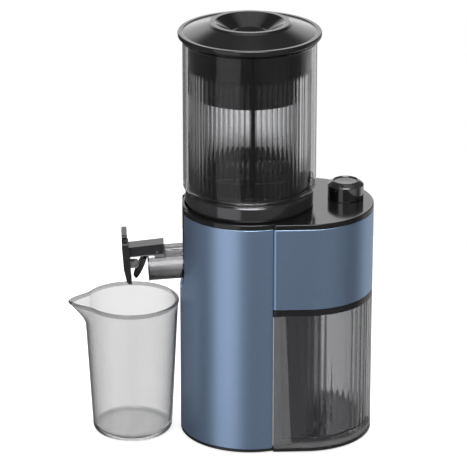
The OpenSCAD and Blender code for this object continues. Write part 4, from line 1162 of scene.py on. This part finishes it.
def makeStopper():
    tilt = radians(stopperForm["tilt"])
    radius = stopperForm["radius"]
    thick = stopperForm["thickness"]
    start = stopperForm["reach"] - thick / 2

    def onStopper(x, z, y):
        return (swivel.x + x * cos(tilt) + z * sin(tilt), axis.y + y,
                swivel.z - x * sin(tilt) + z * cos(tilt))

    profile = softened([
        (start, 0.2, 0), (start, radius - 1.8, 0.5), (start + 0.7, radius - 0.9, 0.3),
        (start + 1.1, radius - 1.5, 0.2), (start + 1.6, radius - 0.5, 0.3), (start + 2.1, radius - 1.1, 0.2),
        (start + 2.6, radius, 0.3), (start + thick, radius, 0.4), (start + thick, radius - 2.6, 0.4),
        (start + thick - 0.8, radius - 3.4, 0.4), (start + thick - 0.8, 0.2, 0)],
        closed=False, steps=3)
    piece("stopperDisc", block(rings(profile, onStopper)), "stopper", "rubberBlack", 50)
    lug = stopperForm["lug"]
    neck = arc(0, 0, lug, 90, 270, 14) + [(start + 0.4, -lug), (start + 0.4, lug)]
    piece("stopperNeck", solidFrom(neck, stopperForm["neckWidth"], 0.5, onStopper), "stopper", "stemGrey")


makeDrum()
makeRail()
makeLever()
makeStopper()
print("spout, lever and stopper made")


# Stage, lights and camera

studio = {
    "floorSize": 0.62,
    "floorGlow": 0.30,
    "floorSeen": 0.35,  # added to the floor's light for the camera alone
    "floorColour": (0.86, 0.86, 0.86, 1),
    "ambient": 0.85,
    "dark": 0.06,
    "backdrop": 1.5,
    "backdropSides": (0.85, 0.97),
    "backdropFoot": (-0.22, 0.02),  # 1 is straight up
    "backdropTop": (0.42, 0.66),
    "backdropLoss": 0.94,  # above its top
    "rightLow": 0.45,  # low light on the right of the backdrop
    "rightFrom": (0.1, 0.45),
    "rightBehind": (0.2, 0.5),
    "frontGlow": 0.085,  # faint light from the room ahead
    "frontRight": 0.06,
    "frontFrom": (0.1, 0.7),
    "frontRightFrom": (0.1, 0.4),
    "zenith": 0.9,
    "zenithFrom": (0.8, 0.98),
    "frontLamp": 9.0,
    "frontTop": (0, -0.515, 0.857),
    "frontTopFrom": (0.90, 0.97),
    "glassDark": 0.48,
    "glassFrom": (0.94, 0.985),  # how far round the clear pieces see the backdrop
    "glassFront": 0.12,
    "glassAhead": (-0.2, 0.3),
    "glassMirror": 0.6,  # how far a reflection seen through clear plastic is a plain reflection
    "glassMirrorFrom": (0.2, 0.8),
}


def worldLight():
    world = bpy.data.worlds.new("studio")
    bpy.context.scene.world = world
    world.use_nodes = True
    sheet = Sheet(world.node_tree)
    ray = sheet.node("ShaderNodeLightPath")
    direction = sheet.node("ShaderNodeTexCoord")["Generated"]
    split = sheet.node("ShaderNodeSeparateXYZ", {0: direction})
    across, up = split["X"], split["Z"]
    depth = split["Y"] / (1.0001 - up * up) ** 0.5  # 1 straight behind the object, 0 at its sides

    def share(value, name):
        return sheet.between(value, *studio[name])

    above = share(up, "backdropFoot")
    backdrop = share(depth, "backdropSides") * above * (1 - studio["backdropLoss"] * share(up, "backdropTop"))
    right = share(across, "rightFrom") * share(depth, "rightBehind") * (1 - above)
    near = sheet.node("ShaderNodeVectorMath", {0: direction, 1: studio["frontTop"]},
                      operation="DOT_PRODUCT")["Value"]
    front = share(0 - depth, "frontFrom") * (
        studio["frontGlow"] + studio["frontRight"] * share(across, "frontRightFrom"))
    mirror = (studio["dark"] + front + studio["backdrop"] * backdrop + studio["rightLow"] * right
              + studio["zenith"] * share(up, "zenithFrom") + studio["frontLamp"] * share(near, "frontTopFrom"))
    clear = share(depth, "glassFrom") + share(0 - depth, "glassAhead") * studio["glassFront"]
    glass = studio["glassDark"] + clear * (1 - studio["glassDark"])
    reflected = share(ray["Glossy Depth"], "glassMirrorFrom")  # before it went through clear plastic
    glass = glass + (mirror - glass) * studio["glassMirror"] * reflected
    other = (1 - ray["Is Glossy Ray"]) * (1 - ray["Is Transmission Ray"])
    seen = ray["Is Glossy Ray"] * mirror + ray["Is Transmission Ray"] * glass + other * studio["ambient"]
    strength = ray["Is Camera Ray"] + (1 - ray["Is Camera Ray"]) * seen
    light = sheet.node("ShaderNodeBackground", {"Color": (1, 1, 1, 1), "Strength": strength})[0]
    sheet.node("ShaderNodeOutputWorld", {"Surface": light})


def floorRecipe(sheet):
    ray = sheet.node("ShaderNodeLightPath")
    matte = sheet.node("ShaderNodeBsdfDiffuse", {"Color": studio["floorColour"]})[0]
    strength = studio["floorGlow"] + studio["floorSeen"] * ray["Is Camera Ray"]
    glow = sheet.node("ShaderNodeEmission", {"Color": (1, 1, 1, 1), "Strength": strength})[0]
    lit = sheet.node("ShaderNodeAddShader", {0: matte, 1: glow})[0]
    gone = sheet.node("ShaderNodeBsdfTransparent")[0]
    return sheet.mixed(ray["Is Glossy Ray"], lit, gone)


def makeFloor():
    mesh = bpy.data.meshes.new("studioFloor")
    edge = arc(0, 0, studio["floorSize"], 0, 360, 96)[:-1]
    mesh.from_pydata([(x, y, -0.3 * mm) for x, y in edge], [], [tuple(range(96))])
    floor = placed("studioFloor", mesh)
    floor.data.materials.append(material("floorWhite", floorRecipe))


daylight = (0.98, 0.99, 1.0)
lamps = {  # azimuth 0 is the camera's side, positive to the right
    "keyBox": {"azimuth": -40, "away": 1.6, "height": 0.25, "size": (1.25, 2.4), "radiance": 0.72,
               "tint": daylight},
    "leftBox": {"azimuth": -88, "away": 1.6, "height": 0.25, "size": (1.0, 2.4), "radiance": 0.05,
                "tint": daylight},
    "sideBox": {"azimuth": 104, "away": 1.4, "height": 0.25, "size": (0.5, 2.2), "radiance": 0.12},
    "topBox": {"azimuth": 0, "away": 0.02, "height": 1.5, "size": (0.7, 0.7), "radiance": 1.4,
               "aim": 0, "mirrored": False},
}


def makeLamp(name, form):
    # a flat lamp that faces the object's middle
    wide, tall = form["size"]
    lamp = bpy.data.lights.new(name, "AREA")
    lamp.shape = "RECTANGLE"
    lamp.size = wide
    lamp.size_y = tall
    lamp.energy = form["radiance"] * pi * wide * tall
    lamp.color = form.get("tint", (1, 1, 1))
    made = placed(name, lamp)
    turn = radians(form["azimuth"])
    middle = axis.x * mm
    made.location = (middle + form["away"] * sin(turn), -form["away"] * cos(turn), form["height"])
    aim = Vector((middle, 0, form.get("aim", form["height"]))) - made.location
    made.rotation_euler = aim.to_track_quat("-Z", "Y").to_euler()
    made.visible_glossy = form.get("mirrored", True)


cameraForm = {
    "place": (-0.1298, -3.0169, 1.3664),
    "down": 0.361,  # radians below level
    "turn": -0.048,
    "lens": 231.26,
}


def makeCamera():
    lens = bpy.data.cameras.new("mainView")
    camera = placed("mainView", lens)
    camera.location = cameraForm["place"]
    camera.rotation_euler = (pi / 2 - cameraForm["down"], 0, cameraForm["turn"])
    lens.sensor_width = 36
    lens.lens = cameraForm["lens"]
    lens.clip_start = 0.1
    lens.clip_end = 50
    bpy.context.scene.camera = camera


worldLight()
makeFloor()
for name, form in lamps.items():
    makeLamp(name, form)
makeCamera()
bpy.context.scene.view_settings.view_transform = "Standard"
print("studio made")
